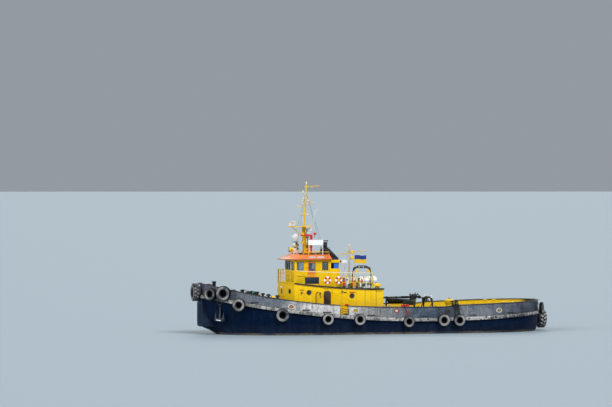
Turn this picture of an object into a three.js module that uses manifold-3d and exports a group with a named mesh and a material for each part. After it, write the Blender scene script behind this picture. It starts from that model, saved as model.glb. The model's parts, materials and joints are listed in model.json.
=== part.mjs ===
// A twin-screw harbour tug, built from its separate pieces.
// Millimetres. +X points to the bow, +Y to port, +Z up.
// The origin is amidships on the centreline, at the height of the waterline.
import * as THREE from 'three';
import { mergeVertices } from 'three/addons/utils/BufferGeometryUtils.js';
import Module from 'manifold-3d';

const wasm = await Module();
wasm.setup();

// Driving dimensions of the hull
const HALF_BEAM = 4150;
const BOW_X = 14100;
const STERN_X = -14500;
const BOW_TAPER_X = 5000;
const STERN_TAPER_X = -8000;
const SHEER_LOW_X = -4000;
const SHEER_LOW_Z = 1150;
const SHEER_FORE = 5.84e-6;
const SHEER_AFT = 4.2e-6;
const DECK_OVER_STRAKE = 150;
const KEEL_Z = -3100;
const STRAKE_HALF_HEIGHT = 130;
const STRAKE_DEPTH = 170;
const GAP = 0.3;

// Driving dimensions of the superstructure
const BULWARK_THICK = 70;
const CAP_HALF_WIDTH = 90;
const CAP_HEIGHT = 60;
const HOUSE_WALL = 80;
const HOUSE_END_TOP = 3550;
const HOUSE_SHEER = 9.24e-6;
const BOAT_DECK_THICK = 110;
const BOAT_DECK_BRIM = 60;
const WHEELHOUSE_WALL = 70;
const WHEELHOUSE_TOP_Z = 5970;

// Plain colours: [colour, roughness, metalness]
const PAINT = {
  navy: [0x16202f, 0.6, 0.1],
  grey: [0x7f8183, 0.7, 0.1],
  black: [0x1b1b1d, 0.7, 0.1],
  yellow: [0xf2b705, 0.5, 0.1],
  orange: [0xe8763a, 0.6, 0.1],
  red: [0xd22a1c, 0.5, 0.1],
  white: [0xe9e9e6, 0.5, 0.1],
  green: [0x1f5a45, 0.6, 0.1],
  rubber: [0x2c2a29, 0.9, 0],
  cloth: [0x2a52a8, 0.9, 0],
  bronze: [0xa9782f, 0.4, 0.8],
  rust: [0x6d4a35, 0.9, 0.1],
};

const tug = new THREE.Group();

// Solids: a closed geometry made into a solid that can be joined and cut
function solid(geometry) {
  let bare = geometry.clone();
  for (const name of Object.keys(bare.attributes)) {
    if (name !== 'position') bare.deleteAttribute(name);
  }
  bare = mergeVertices(bare, 1e-3);
  const points = bare.attributes.position.array;
  const corners = [];
  let volume = 0;
  const a = new THREE.Vector3();
  const b = new THREE.Vector3();
  const c = new THREE.Vector3();
  for (let i = 0; i < bare.index.count; i += 3) {
    const [p, q, r] = [0, 1, 2].map((k) => bare.index.getX(i + k));
    if (p === q || q === r || r === p) continue;
    a.fromArray(points, 3 * p);
    b.fromArray(points, 3 * q);
    c.fromArray(points, 3 * r);
    volume += a.dot(b.cross(c));
    corners.push(p, q, r);
  }
  if (volume < 0) {
    for (let i = 0; i < corners.length; i += 3) {
      [corners[i], corners[i + 1]] = [corners[i + 1], corners[i]];
    }
  }
  const vertProperties = Float32Array.from(points);
  const triVerts = Uint32Array.from(corners);
  return new wasm.Manifold(new wasm.Mesh({ numProp: 3, vertProperties, triVerts }));
}

function join(...solids) {
  return solids.reduce((whole, next) => whole.add(next));
}

function piece(name, body, paint) {
  const { vertProperties, triVerts } = body.getMesh();
  const geometry = new THREE.BufferGeometry();
  geometry.setAttribute('position', new THREE.BufferAttribute(vertProperties, 3));
  geometry.setIndex(new THREE.BufferAttribute(triVerts, 1));
  geometry.computeVertexNormals();
  const [color, roughness, metalness] = PAINT[paint];
  const mesh = new THREE.Mesh(geometry, new THREE.MeshStandardMaterial({ color, roughness, metalness }));
  mesh.name = name;
  tug.add(mesh);
  return mesh;
}

// Basic forms
function block(x0, x1, y0, y1, z0, z1) {
  const box = new THREE.BoxGeometry(x1 - x0, y1 - y0, z1 - z0);
  return solid(box.translate((x0 + x1) / 2, (y0 + y1) / 2, (z0 + z1) / 2));
}

function bar(from, to, radius, sides = 8, endRadius = radius) {
  const a = new THREE.Vector3(...from);
  const b = new THREE.Vector3(...to);
  const way = b.clone().sub(a);
  const rod = new THREE.CylinderGeometry(endRadius, radius, way.length(), sides);
  const turn = new THREE.Quaternion().setFromUnitVectors(new THREE.Vector3(0, 1, 0), way.normalize());
  rod.applyQuaternion(turn);
  rod.translate((a.x + b.x) / 2, (a.y + b.y) / 2, (a.z + b.z) / 2);
  return solid(rod);
}

// Straight runs from point to point, whose ends lie inside what joins them
function bars(points, radius, sides = 6) {
  return join(...points.slice(1).map((point, i) => bar(points[i], point, radius, sides)));
}

// A pipe along a smooth curve through the points
function pipe(points, radius, sides = 8, steps = 3 * points.length) {
  const circle = new THREE.Shape();
  for (let i = 0; i < sides; i += 1) {
    const t = (2 * Math.PI * i) / sides;
    const corner = [radius * Math.cos(t), radius * Math.sin(t)];
    if (i === 0) circle.moveTo(...corner);
    else circle.lineTo(...corner);
  }
  circle.closePath();
  const curve = new THREE.CatmullRomCurve3(points.map((point) => new THREE.Vector3(...point)), false, 'centripetal');
  return solid(new THREE.ExtrudeGeometry(circle, { steps, extrudePath: curve, bevelEnabled: false }));
}

function prism(outline, z0, z1) {
  const shape = new THREE.Shape(outline.map(([x, y]) => new THREE.Vector2(x, y)));
  const body = new THREE.ExtrudeGeometry(shape, { depth: z1 - z0, bevelEnabled: false });
  return solid(body.translate(0, 0, z0));
}

function sidePrism(outline, y0, y1) {
  const shape = new THREE.Shape(outline.map(([x, z]) => new THREE.Vector2(x, z)));
  const body = new THREE.ExtrudeGeometry(shape, { depth: y1 - y0, bevelEnabled: false });
  return solid(body.rotateX(Math.PI / 2).translate(0, y1, 0));
}

function turned(profile, sides) {
  const points = profile.map(([r, h]) => new THREE.Vector2(r, h));
  return new THREE.LatheGeometry(points, sides);
}

function upright(profile, x, y, sides = 16) {
  return solid(turned(profile, sides).rotateX(Math.PI / 2).translate(x, y, 0));
}

function mirrored(body) {
  return body.mirror([0, 1, 0]);
}

// Plan outline of the deck edge: sine and cosine arcs with fuller shoulders
const BOW_FULLNESS = 2 / 2.2;
const STERN_FULLNESS = 2 / 2.4;
const ARC_STEPS = [12, 26, 40, 52, 62, 71, 78, 84, 90];
const MID_STATIONS = [5000, 2500, 0, -2700, -5400, -8000];

function power(value, exponent) {
  return value < 1e-9 ? 0 : value ** exponent;
}

function bowPoint(degrees) {
  const t = THREE.MathUtils.degToRad(degrees);
  const reach = (BOW_X - BOW_TAPER_X) * power(Math.sin(t), BOW_FULLNESS);
  return [BOW_TAPER_X + reach, HALF_BEAM * power(Math.cos(t), 1)];
}

function sternPoint(degrees) {
  const t = THREE.MathUtils.degToRad(degrees);
  const reach = (STERN_TAPER_X - STERN_X) * power(Math.sin(t), STERN_FULLNESS);
  return [STERN_TAPER_X - reach, HALF_BEAM * power(Math.cos(t), BOW_FULLNESS)];
}

const PORT_EDGE = [
  ...ARC_STEPS.map(bowPoint).reverse(),
  ...MID_STATIONS.map((x) => [x, HALF_BEAM]),
  ...ARC_STEPS.map(sternPoint),
];
const STATION_X = PORT_EDGE.map(([x]) => x);

function halfBreadth(x) {
  if (x > BOW_TAPER_X) {
    const u = (x - BOW_TAPER_X) / (BOW_X - BOW_TAPER_X);
    return HALF_BEAM * Math.sqrt(Math.max(0, 1 - u ** (2 / BOW_FULLNESS)));
  }
  if (x < STERN_TAPER_X) {
    const u = (STERN_TAPER_X - x) / (STERN_TAPER_X - STERN_X);
    return HALF_BEAM * power(Math.max(0, 1 - u ** (2 / STERN_FULLNESS)), BOW_FULLNESS / 2);
  }
  return HALF_BEAM;
}

// The straight run of the deck edge at x: its first point, its length and its outward normal
function edgeRun(x) {
  const i = Math.max(1, PORT_EDGE.findIndex(([station]) => station <= x));
  const [[x0, y0], [x1, y1]] = [PORT_EDGE[i - 1], PORT_EDGE[i]];
  const length = Math.hypot(x1 - x0, y1 - y0);
  return { x0, y0, x1, y1, normal: [(y1 - y0) / length, (x0 - x1) / length] };
}

// Place on the ship's side at x, moved outwards by offset: [x, y, turn of the outward normal from +Y]
function onSide(x, offset) {
  const { x0, y0, x1, y1, normal } = edgeRun(x);
  const y = y0 + ((y1 - y0) * (x - x0)) / (x1 - x0);
  return [x + normal[0] * offset, y + normal[1] * offset, -Math.atan2(normal[0], normal[1])];
}

// Heights along the ship
function sheerZ(x) {
  const rate = x > SHEER_LOW_X ? SHEER_FORE : SHEER_AFT;
  return SHEER_LOW_Z + rate * (x - SHEER_LOW_X) ** 2;
}

function bulwarkTopZ(x) {
  const WAIST_Z = 2150;
  const WAIST_END_X = -3000;
  const STEP_X = -6300;
  if (x > WAIST_END_X) return WAIST_Z + 1.79e-7 * (x - WAIST_END_X) ** 2.37;
  if (x > STEP_X) return WAIST_Z;
  return WAIST_Z + 130 + 0.03 * Math.max(0, STEP_X - 400 - x);
}

// Side-view prism under or over a line of heights
function under(heightAt, xs, lowZ, halfWidth = 6000) {
  const line = xs.map((x) => [x, heightAt(x)]);
  return sidePrism([...line, [xs.at(-1), lowZ], [xs[0], lowZ]], -halfWidth, halfWidth);
}

const LONG_X = [16500, ...STATION_X, -16500];
const deckZ = (x) => sheerZ(x) + DECK_OVER_STRAKE;
const underDeck = (lift = GAP) => under((x) => deckZ(x) + lift, LONG_X, -5000);
const WAIST_X = [16500, ...STATION_X.filter((x) => x > -5500), -6300, -6700, ...STATION_X.filter((x) => x < -6800)];
const RAIL_X = [...WAIST_X, -16500];
const railPrism = (lift) => under((x) => bulwarkTopZ(Math.min(x, BOW_X)) + lift, RAIL_X, -5000);

// A wall that follows the deck edge all round, between two offsets from it, with mitred corners
const EDGE_LOOP = [...PORT_EDGE, ...PORT_EDGE.slice(1, -1).reverse().map(([x, y]) => [x, -y])];

function edgeOffset(offset) {
  const count = EDGE_LOOP.length;
  return EDGE_LOOP.map(([x, y], i) => {
    const [xa, ya] = EDGE_LOOP[(i + count - 1) % count];
    const [xb, yb] = EDGE_LOOP[(i + 1) % count];
    const [la, lb] = [Math.hypot(x - xa, y - ya), Math.hypot(xb - x, yb - y)];
    const before = [(y - ya) / la, (xa - x) / la];
    const after = [(yb - y) / lb, (x - xb) / lb];
    const share = offset / (1 + before[0] * after[0] + before[1] * after[1]);
    return [x + (before[0] + after[0]) * share, y + (before[1] + after[1]) * share];
  });
}

function edgeRing(inner, outer, z0, z1) {
  return prism(edgeOffset(outer), z0, z1).subtract(prism(edgeOffset(inner), z0 - 10, z1 + 10));
}

// Hull: sections of a rounded form, [x, keel z, bilge fullness] between which the keel is straight
const KEEL_LINE = [
  [-14500, 150, 2.6],
  [-14100, -200, 2.8],
  [-12500, -550, 3],
  [-10600, -720, 3.2],
  [-9300, -950, 3.2],
  [-7500, -1900, 3],
  [-5000, -2950, 3],
  [-4000, KEEL_Z, 3.2],
  [8500, KEEL_Z, 2.8],
  [10500, -2600, 2.2],
  [11900, -1300, 1.8],
  [12750, 0, 1.6],
  [13300, 330, 1.5],
  [13880, 560, 1.4],
  [13990, 950, 1.3],
  [14100, 1600, 1.2],
];

function keelAt(x) {
  const last = KEEL_LINE.findIndex(([at]) => at >= x - 1e-6);
  const [x1, z1, n1] = KEEL_LINE[Math.max(1, last)];
  const [x0, z0, n0] = KEEL_LINE[Math.max(1, last) - 1];
  const share = (x - x0) / (x1 - x0);
  return [z0 + (z1 - z0) * share, n0 + (n1 - n0) * share];
}

const HULL_X = [...new Set([...STATION_X, ...KEEL_LINE.map(([x]) => x)])].sort((a, b) => b - a);
const GIRTH = [0, 14, 28, 40, 52, 64, 77, 90];

function hullForm(grow) {
  const rings = HULL_X.map((x) => {
    const [keel, fullness] = keelAt(x);
    const breadth = halfBreadth(x);
    const deck = deckHeight(x);
    const low = keel - grow;
    const port = GIRTH.map((degrees) => {
      const t = THREE.MathUtils.degToRad(degrees);
      const z = deck + grow - (deck + grow - low) * power(Math.cos(t), 2 / fullness);
      const y = breadth < 1 ? 0 : (breadth + grow) * power(Math.sin(t), 2 / fullness);
      return [x * (1 + (2 * grow) / BOW_X), y, z];
    });
    const starboard = port.slice(1).reverse().map(([px, y, z]) => [px, -y, z]);
    return [...port, ...starboard];
  });
  const count = rings[0].length;
  const index = [];
  for (let i = 0; i + 1 < rings.length; i += 1) {
    for (let j = 0; j < count; j += 1) {
      const next = (j + 1) % count;
      const [p, q, r, s] = [i * count + j, i * count + next, (i + 1) * count + next, (i + 1) * count + j];
      index.push(p, r, q, p, s, r);
    }
  }
  const geometry = new THREE.BufferGeometry();
  geometry.setAttribute('position', new THREE.Float32BufferAttribute(rings.flat(2), 3));
  geometry.setIndex(index);
  return solid(geometry);
}

// Deck height on the straight runs between the stations of the deck edge
function deckHeight(x) {
  const at = STATION_X.findIndex((station) => station <= x + 1e-6);
  if (at <= 0) return deckZ(STATION_X[0]);
  const [x0, x1] = [STATION_X[at], STATION_X[at - 1]];
  return deckZ(x0) + ((deckZ(x1) - deckZ(x0)) * (x - x0)) / (x1 - x0);
}

// Screws: two shafts, each with a bracket, a four-bladed propeller and a steering nozzle
const SCREW = { x: -10600, y: 1900, z: -1950, radius: 820 };
const SHAFT_RADIUS = 110;
const BRACKET_X = -9250;
const SHAFT_END_X = -7700;
const SHAFT_TURNING_GAP = 1.6;

function shaftBracket() {
  const { y, z } = SCREW;
  const half = 170;
  const barrel = bar([BRACKET_X - half, y, z], [BRACKET_X + half, y, z], 230, 16);
  const inboardArm = bar([BRACKET_X, y - 120, z + 120], [BRACKET_X + 150, y - 900, -600], 75, 8);
  const outboardArm = bar([BRACKET_X, y + 100, z + 120], [BRACKET_X + 150, y + 500, -500], 75, 8);
  const bossing = bar([SHAFT_END_X + 20, y, z], [SHAFT_END_X + 2200, y, z], 260, 16);
  const bore = bar([BRACKET_X - 400, y, z], [BRACKET_X + 400, y, z], SHAFT_RADIUS + SHAFT_TURNING_GAP, 24);
  return join(barrel, inboardArm, outboardArm).subtract(bore).add(bossing);
}

const STOCK = { radius: 130, boss: 210, seatZ: SCREW.z + 1210 };
const stockBoss = bar([SCREW.x, SCREW.y, STOCK.seatZ], [SCREW.x, SCREW.y, -300], STOCK.boss, 16);
const keelBar = block(-8600, 9000, -170, 170, KEEL_Z - 160, KEEL_Z + 120);
const skeg = sidePrism([
  [-9400, -700], [-9100, KEEL_Z + 250], [-8600, KEEL_Z - 160], [-4000, KEEL_Z - 160], [-4000, -2500],
], -110, 110);
const plainHull = hullForm(0);
const bracketPort = join(shaftBracket(), stockBoss);

// Deck fittings welded to the hull: mushroom vents, lockers and hatch coamings with their lids
const DECK_VENTS = [[9040, 2500, 3300], [8280, 2450, 3210]];
const LOCKER = { x0: 8530, x1: 8800, y0: 2330, y1: 2600, top: 3120 };
const HATCHES = [[11350, 12050, 400], [-13100, -12400, 450]];

function deckVent([x, y, top]) {
  const foot = deckZ(x) - 60;
  return upright([[0, foot], [95, foot], [95, top - 170], [185, top - 150], [160, top - 40], [0, top]], x, y, 10);
}

function hatch([x0, x1, half]) {
  const foot = deckZ(x0) - 100;
  const coaming = deckZ(Math.abs(x0) > Math.abs(x1) ? x0 : x1) + 260;
  return join(
    block(x0, x1, -half, half, foot, coaming),
    block(x0 - 30, x1 + 30, -half - 30, half + 30, coaming - 40, coaming + 30),
  );
}

const sideFittings = join(
  ...DECK_VENTS.map(deckVent),
  block(LOCKER.x0, LOCKER.x1, LOCKER.y0, LOCKER.y1, 2100, LOCKER.top),
);
const deckFittings = join(sideFittings, mirrored(sideFittings), ...HATCHES.map(hatch));
const hull = join(plainHull, keelBar, skeg, bracketPort, mirrored(bracketPort), deckFittings);
piece('hull', hull, 'navy');
const hullCutter = hullForm(GAP);

// Rubbing strake round the deck edge and the rubber pad on the stem
const strakeBand = edgeRing(-120, STRAKE_DEPTH, -500, 4500)
  .subtract(under((x) => sheerZ(x) - STRAKE_HALF_HEIGHT, LONG_X, -5000))
  .intersect(under((x) => sheerZ(x) + STRAKE_HALF_HEIGHT, LONG_X, -5000))
  .subtract(hullCutter);
piece('rubbing_strake', strakeBand, 'grey');

const PAD = { thick: 165, half: 780, foot: 640, aft: 13150 };
const padSide = under((x) => sheerZ(x) - STRAKE_HALF_HEIGHT - GAP, LONG_X, -5000);
const padFace = edgeRing(-900, PAD.thick, PAD.foot, 4200)
  .intersect(block(PAD.aft, 15500, -PAD.half, PAD.half, PAD.foot, 4200))
  .intersect(padSide)
  .subtract(hullCutter);
piece('bow_fender_pad', padFace, 'rubber');

// Bulwark with its two side gates, fairleads and freeing ports, and the cap on it
const GATE = { fore: 3530, aft: 2810 };
const FAIRLEADS = [
  { x: 7530, z: 2290, half: 190 },
  { x: 2230, z: 1950, half: 190 },
  { x: -1210, z: 1900, half: 170 },
  { x: -5530, z: 1760, half: 190 },
  { x: -9970, z: 1830, half: 190 },
  { x: -12360, z: 1930, half: 110 },
];
const FREEING_PORTS = [10400, 6300, 4600, 900, -3600, -7700, -11000];

function fairleadHole({ x, z, half }) {
  const [, y, turn] = onSide(x, 0);
  const hole = bar([0, -400, 0], [0, 400, 0], half * 0.72, 16).scale([1.35, 1, 1]);
  return hole.rotate([0, 0, THREE.MathUtils.radToDeg(turn)]).translate([x, y, z]);
}

function freeingPort(x) {
  const [, y, turn] = onSide(x, 0);
  const slot = block(-330, 330, -300, 300, 45, 150);
  return slot.rotate([0, 0, THREE.MathUtils.radToDeg(turn)]).translate([x, y, deckZ(x)]);
}

const foreHalf = block(GATE.fore, 16000, -5000, 5000, 0, 6000);
const aftHalf = block(-16000, GATE.aft, -5000, 5000, 0, 6000);
const holes = join(...FAIRLEADS.map(fairleadHole), ...FREEING_PORTS.map(freeingPort));
const STAY = { depth: 160, head: 40, halfThick: 12, drop: 90 };
const STAYS = [
  12000, 11000, 9500, 8450, 7000, 3650, 1700, -200, -2800, -4200, -5150, -6990, -8640, -10290, -11940, -13300,
];

function bulwarkStay(x) {
  const [px, py, turn] = onSide(x, 0);
  const foot = deckZ(x) - 100;
  const top = bulwarkTopZ(x) - STAY.drop;
  const root = -BULWARK_THICK / 2;
  const plate = sidePrism([
    [-BULWARK_THICK - STAY.depth, foot], [root, foot], [root, top], [-BULWARK_THICK - STAY.head, top],
    [-BULWARK_THICK - STAY.depth, foot + 200],
  ], -STAY.halfThick, STAY.halfThick);
  return plate.rotate([0, 0, 90 + THREE.MathUtils.radToDeg(turn)]).translate([px, py, 0]);
}

const stays = join(...STAYS.map(bulwarkStay));
const wall = edgeRing(-BULWARK_THICK, 0, 0, 6000)
  .intersect(railPrism(0))
  .subtract(holes)
  .subtract(mirrored(holes))
  .add(stays)
  .add(mirrored(stays))
  .subtract(underDeck());
piece('bulwark_fore', wall.intersect(foreHalf), 'grey');
piece('bulwark_aft', wall.intersect(aftHalf), 'grey');
const cap = edgeRing(-BULWARK_THICK / 2 - CAP_HALF_WIDTH, CAP_HALF_WIDTH - BULWARK_THICK / 2, 0, 6000)
  .subtract(railPrism(GAP))
  .intersect(railPrism(GAP + CAP_HEIGHT));
piece('bulwark_cap_fore', cap.intersect(foreHalf), 'black');
piece('bulwark_cap_aft', cap.intersect(aftHalf), 'black');

// Tyre fenders: [x on the side, height, outer diameter, offset of the centre]. A wire joins each set.
const TYRE_WIDTH_SHARE = 0.29;
const TYRE_CLEAR = GAP;
const SIDE_TYRES = [
  [8280, 1640, 1080],
  [4610, 1290, 960],
  [1950, 1230, 950],
  [-2170, 1010, 920],
  [-5130, 1100, 1000],
  [-6450, 1080, 970],
];
const BOW_TYRES = [
  [11600, 2440, 1040],
  [12680, 3360, 1220],
  [13560, 3290, 1050],
];

function tyre(diameter, widthShare = TYRE_WIDTH_SHARE) {
  const outer = diameter / 2;
  const half = (diameter * widthShare) / 2;
  const hole = outer * 0.44;
  const profile = [
    [hole, -half * 0.6],
    [outer * 0.72, -half],
    [outer, -half * 0.66],
    [outer, half * 0.66],
    [outer * 0.72, half],
    [hole, half * 0.6],
    [hole, -half * 0.6],
  ];
  return solid(turned(profile, 14));
}

function sideTyre([x, z, diameter], carrier = STRAKE_DEPTH) {
  const offset = carrier + (diameter * TYRE_WIDTH_SHARE) / 2 + TYRE_CLEAR;
  const [px, py, turn] = onSide(x, offset);
  return tyre(diameter).rotate([0, 0, THREE.MathUtils.radToDeg(turn)]).translate([px, py, z]);
}

function wireAlong(rows, carrier = STRAKE_DEPTH) {
  const points = rows.map(([x, z, diameter]) => {
    const offset = carrier + (diameter * TYRE_WIDTH_SHARE) / 2 + TYRE_CLEAR;
    const [px, py] = onSide(x, offset);
    return [px, py, z + diameter * 0.4];
  });
  return bars(points, 22, 4);
}

const portTyres = join(...SIDE_TYRES.map((row) => sideTyre(row)), wireAlong(SIDE_TYRES));
piece('tyre_fenders_port', portTyres, 'rubber');
piece('tyre_fenders_starboard', mirrored(portTyres), 'rubber');
const bowTyres = join(...BOW_TYRES.map((row) => sideTyre(row)), wireAlong(BOW_TYRES));

// Loader tyres at the stem and the stern, wider than the rest, with slanted lugs on the tread
const LUG = { count: 12, height: 36, half: 60, slant: 38 };

function loaderTyre({ diameter, widthShare }) {
  const outer = diameter / 2;
  const half = (diameter * widthShare) / 2;
  const lugs = [];
  for (let i = 0; i < LUG.count; i += 1) {
    const row = i % 2 === 0 ? 1 : -1;
    const along = half * 0.46;
    const lug = block(-LUG.half, LUG.half, -along, along, -80, LUG.height)
      .rotate([0, 0, LUG.slant * row])
      .translate([0, row * along, outer])
      .rotate([0, (360 * i) / LUG.count, 0]);
    lugs.push(lug);
  }
  return join(tyre(diameter, widthShare), ...lugs);
}

const STEM_TYRE = { z: 3390, diameter: 1440, widthShare: 0.36 };
STEM_TYRE.x = BOW_X + STRAKE_DEPTH + (STEM_TYRE.diameter * STEM_TYRE.widthShare) / 2 + TYRE_CLEAR;
const stemTyre = loaderTyre(STEM_TYRE).rotate([0, 0, -90]).translate([STEM_TYRE.x, 0, STEM_TYRE.z]);
const [lastX, lastZ, lastSize] = BOW_TYRES[2];
const [wireX, wireY] = onSide(lastX, STRAKE_DEPTH + 160);
const bowWire = bars([[wireX, wireY, lastZ + lastSize * 0.38], [STEM_TYRE.x, 0, STEM_TYRE.z + 600]], 22, 4);
const bowSet = join(bowTyres, stemTyre, bowWire);
piece('tyre_fenders_bow', join(bowSet, mirrored(bowSet)), 'rubber');
const QUARTER_TYRE = [-14330, 1900, 950];
const STERN_TYRE = { z: 950, diameter: 1540, widthShare: 0.42 };
const sternReach = STRAKE_DEPTH + (STERN_TYRE.diameter * STERN_TYRE.widthShare) / 2 + TYRE_CLEAR;
const sternTyre = loaderTyre(STERN_TYRE).rotate([0, 0, 90]).translate([STERN_X - sternReach, 0, STERN_TYRE.z]);
const quarterTyre = sideTyre(QUARTER_TYRE);
const [quarterX, quarterY] = onSide(QUARTER_TYRE[0], STRAKE_DEPTH + 140);
const sternWire = bars([
  [quarterX, -quarterY, 2230], [STERN_X - sternReach, 0, STERN_TYRE.z + 660], [quarterX, quarterY, 2230],
], 22, 4);
piece('tyre_fenders_stern', join(sternTyre, quarterTyre, mirrored(quarterTyre), sternWire), 'rubber');

// Anchors stowed against the bow
function anchor() {
  const shank = block(-70, 70, -60, 60, 0, 1150);
  const crown = block(-430, 430, -150, 110, -120, 110);
  const fluke = sidePrism([[-430, 0], [-260, 0], [-330, 620]], 10, 110);
  const fluke2 = sidePrism([[260, 0], [430, 0], [330, 620]], 10, 110);
  return join(shank, crown, fluke, fluke2);
}
const ANCHOR = { x: 12850, z: 1250, offset: 150 };
const [anchorX, anchorY, anchorTurn] = onSide(ANCHOR.x, ANCHOR.offset);
const anchorPort = anchor()
  .rotate([6, 0, THREE.MathUtils.radToDeg(anchorTurn)])
  .translate([anchorX, anchorY - 260, ANCHOR.z])
  .subtract(hullCutter);
piece('anchor_port', anchorPort, 'rust');
piece('anchor_starboard', mirrored(anchorPort), 'rust');

// Deckhouse: a hollow house on the main deck with one door on each side
const HOUSE = { aft: -500, fore: 6930, nose: 7300, half: 2800, noseHalf: 1200 };
const houseTopZ = (x) => HOUSE_END_TOP + HOUSE_SHEER * (x - HOUSE.aft) ** 2;
const HOUSE_X = [9500, 7800, 6000, 4500, 3000, 1500, 0, -2000];
const housePlan = (inset) => [
  [HOUSE.aft + inset, -HOUSE.half + inset],
  [HOUSE.fore - inset / 2, -HOUSE.half + inset],
  [HOUSE.nose - inset, -HOUSE.noseHalf + inset / 3],
  [HOUSE.nose - inset, HOUSE.noseHalf - inset / 3],
  [HOUSE.fore - inset / 2, HOUSE.half - inset],
  [HOUSE.aft + inset, HOUSE.half - inset],
];
const HOUSE_DOOR = { x0: 3920, x1: 4520, sill: 180, height: 1620 };
const houseDoorZ = deckZ((HOUSE_DOOR.x0 + HOUSE_DOOR.x1) / 2) + HOUSE_DOOR.sill;
const DOOR_HEAD_ROUND = 190;

// Side outline of a doorway whose upper corners are rounded
function doorOutline(x0, x1, z0, z1, round) {
  const corner = (x, way, degrees) => {
    const t = THREE.MathUtils.degToRad(degrees);
    return [x + way * round * Math.cos(t), z1 - round + round * Math.sin(t)];
  };
  if (round === 0) return [[x0, z0], [x1, z0], [x1, z1], [x0, z1]];
  const fore = [0, 30, 60, 90].map((degrees) => corner(x1 - round, 1, degrees));
  const aft = [90, 60, 30, 0].map((degrees) => corner(x0 + round, -1, degrees));
  return [[x0, z0], [x1, z0], ...fore, ...aft];
}

const houseDoorTop = houseDoorZ + HOUSE_DOOR.height;
const doorHole = sidePrism(
  doorOutline(HOUSE_DOOR.x0, HOUSE_DOOR.x1, houseDoorZ, houseDoorTop, DOOR_HEAD_ROUND), -5000, 5000,
);
const house = prism(housePlan(0), 0, 6000)
  .subtract(prism(housePlan(HOUSE_WALL), -10, 6010))
  .subtract(underDeck())
  .intersect(under(houseTopZ, HOUSE_X, -100))
  .subtract(doorHole);

// Boat deck over the deckhouse
const boatDeckPlan = [
  [HOUSE.aft - BOAT_DECK_BRIM, -HOUSE.half - BOAT_DECK_BRIM],
  [HOUSE.fore + BOAT_DECK_BRIM / 2, -HOUSE.half - BOAT_DECK_BRIM],
  [HOUSE.nose + BOAT_DECK_BRIM, -HOUSE.noseHalf],
  [HOUSE.nose + BOAT_DECK_BRIM, HOUSE.noseHalf],
  [HOUSE.fore + BOAT_DECK_BRIM / 2, HOUSE.half + BOAT_DECK_BRIM],
  [HOUSE.aft - BOAT_DECK_BRIM, HOUSE.half + BOAT_DECK_BRIM],
];
const boatDeckZ = (x) => houseTopZ(x) + GAP + BOAT_DECK_THICK;
const underBoatDeck = under((x) => boatDeckZ(x) + GAP, HOUSE_X, -100);

function boatDeckHeight(x) {
  const at = HOUSE_X.findIndex((station) => station <= x);
  const [x0, x1] = [HOUSE_X[at], HOUSE_X[at - 1]];
  return boatDeckZ(x0) + ((boatDeckZ(x1) - boatDeckZ(x0)) * (x - x0)) / (x1 - x0);
}

function mushroomVent(x, y) {
  const foot = boatDeckHeight(x) - 80;
  return upright([
    [0, foot], [170, foot], [170, foot + 250], [380, foot + 250], [370, foot + 360], [200, foot + 470],
    [0, foot + 500],
  ], x, y);
}

const VENT = { x: -160, y: 2150 };
const boatDeck = prism(boatDeckPlan, 0, 6000)
  .subtract(under((x) => houseTopZ(x) + GAP, HOUSE_X, -100))
  .intersect(under(boatDeckZ, HOUSE_X, -100))
  .add(mushroomVent(VENT.x, VENT.y))
  .add(mushroomVent(VENT.x, -VENT.y));
piece('boat_deck', boatDeck, 'yellow');

// Doors: leaves that stand in their openings, on two outside hinges at their forward edge.
// The hinge pin stands off the wall, and each moving knuckle rests on a fixed one.
const DOOR_GAP = 6;
const HINGE = { radius: 22, standOff: 30, height: 60, strap: 95 };

function hingeHalf(x, y, z, side) {
  const [from, to] = side > 0 ? [x + 5, x + HINGE.strap] : [x - HINGE.strap, x - 5];
  return join(
    bar([x, y + HINGE.standOff, z], [x, y + HINGE.standOff, z + HINGE.height], HINGE.radius, 10),
    block(from, to, y - 5, y + HINGE.standOff + 6, z, z + HINGE.height),
  );
}

function hingeLevels(z0, z1) {
  return [z0 + 0.15 * (z1 - z0), z0 + 0.76 * (z1 - z0)];
}

function fixedHinges(x1, z0, z1, y) {
  return join(...hingeLevels(z0, z1).map((z) => hingeHalf(x1, y, z - HINGE.height, 1)));
}

function sideDoor(x0, x1, z0, z1, y, thick, round = 0) {
  const leaf = sidePrism(
    doorOutline(x0 + DOOR_GAP, x1 - DOOR_GAP, z0 + DOOR_GAP, z1 - DOOR_GAP, round), y - thick, y,
  );
  const middle = (z0 + z1) / 2;
  const handle = join(
    bar([x0 + 110, y - 10, middle], [x0 + 110, y + 50, middle], 12),
    bar([x0 + 110, y + 45, middle + 60], [x0 + 110, y + 45, middle - 60], 12),
  );
  return join(leaf, handle, ...hingeLevels(z0, z1).map((z) => hingeHalf(x1, y, z + GAP, -1)));
}
const houseDoor = sideDoor(
  HOUSE_DOOR.x0, HOUSE_DOOR.x1, houseDoorZ, houseDoorTop, HOUSE.half, 45, DOOR_HEAD_ROUND,
);
const houseHinges = fixedHinges(HOUSE_DOOR.x1, houseDoorZ, houseDoorTop, HOUSE.half);
piece('deckhouse', join(house, houseHinges, mirrored(houseHinges)), 'yellow');
piece('deckhouse_door_port', houseDoor, 'yellow');
piece('deckhouse_door_starboard', mirrored(houseDoor), 'yellow');

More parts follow.
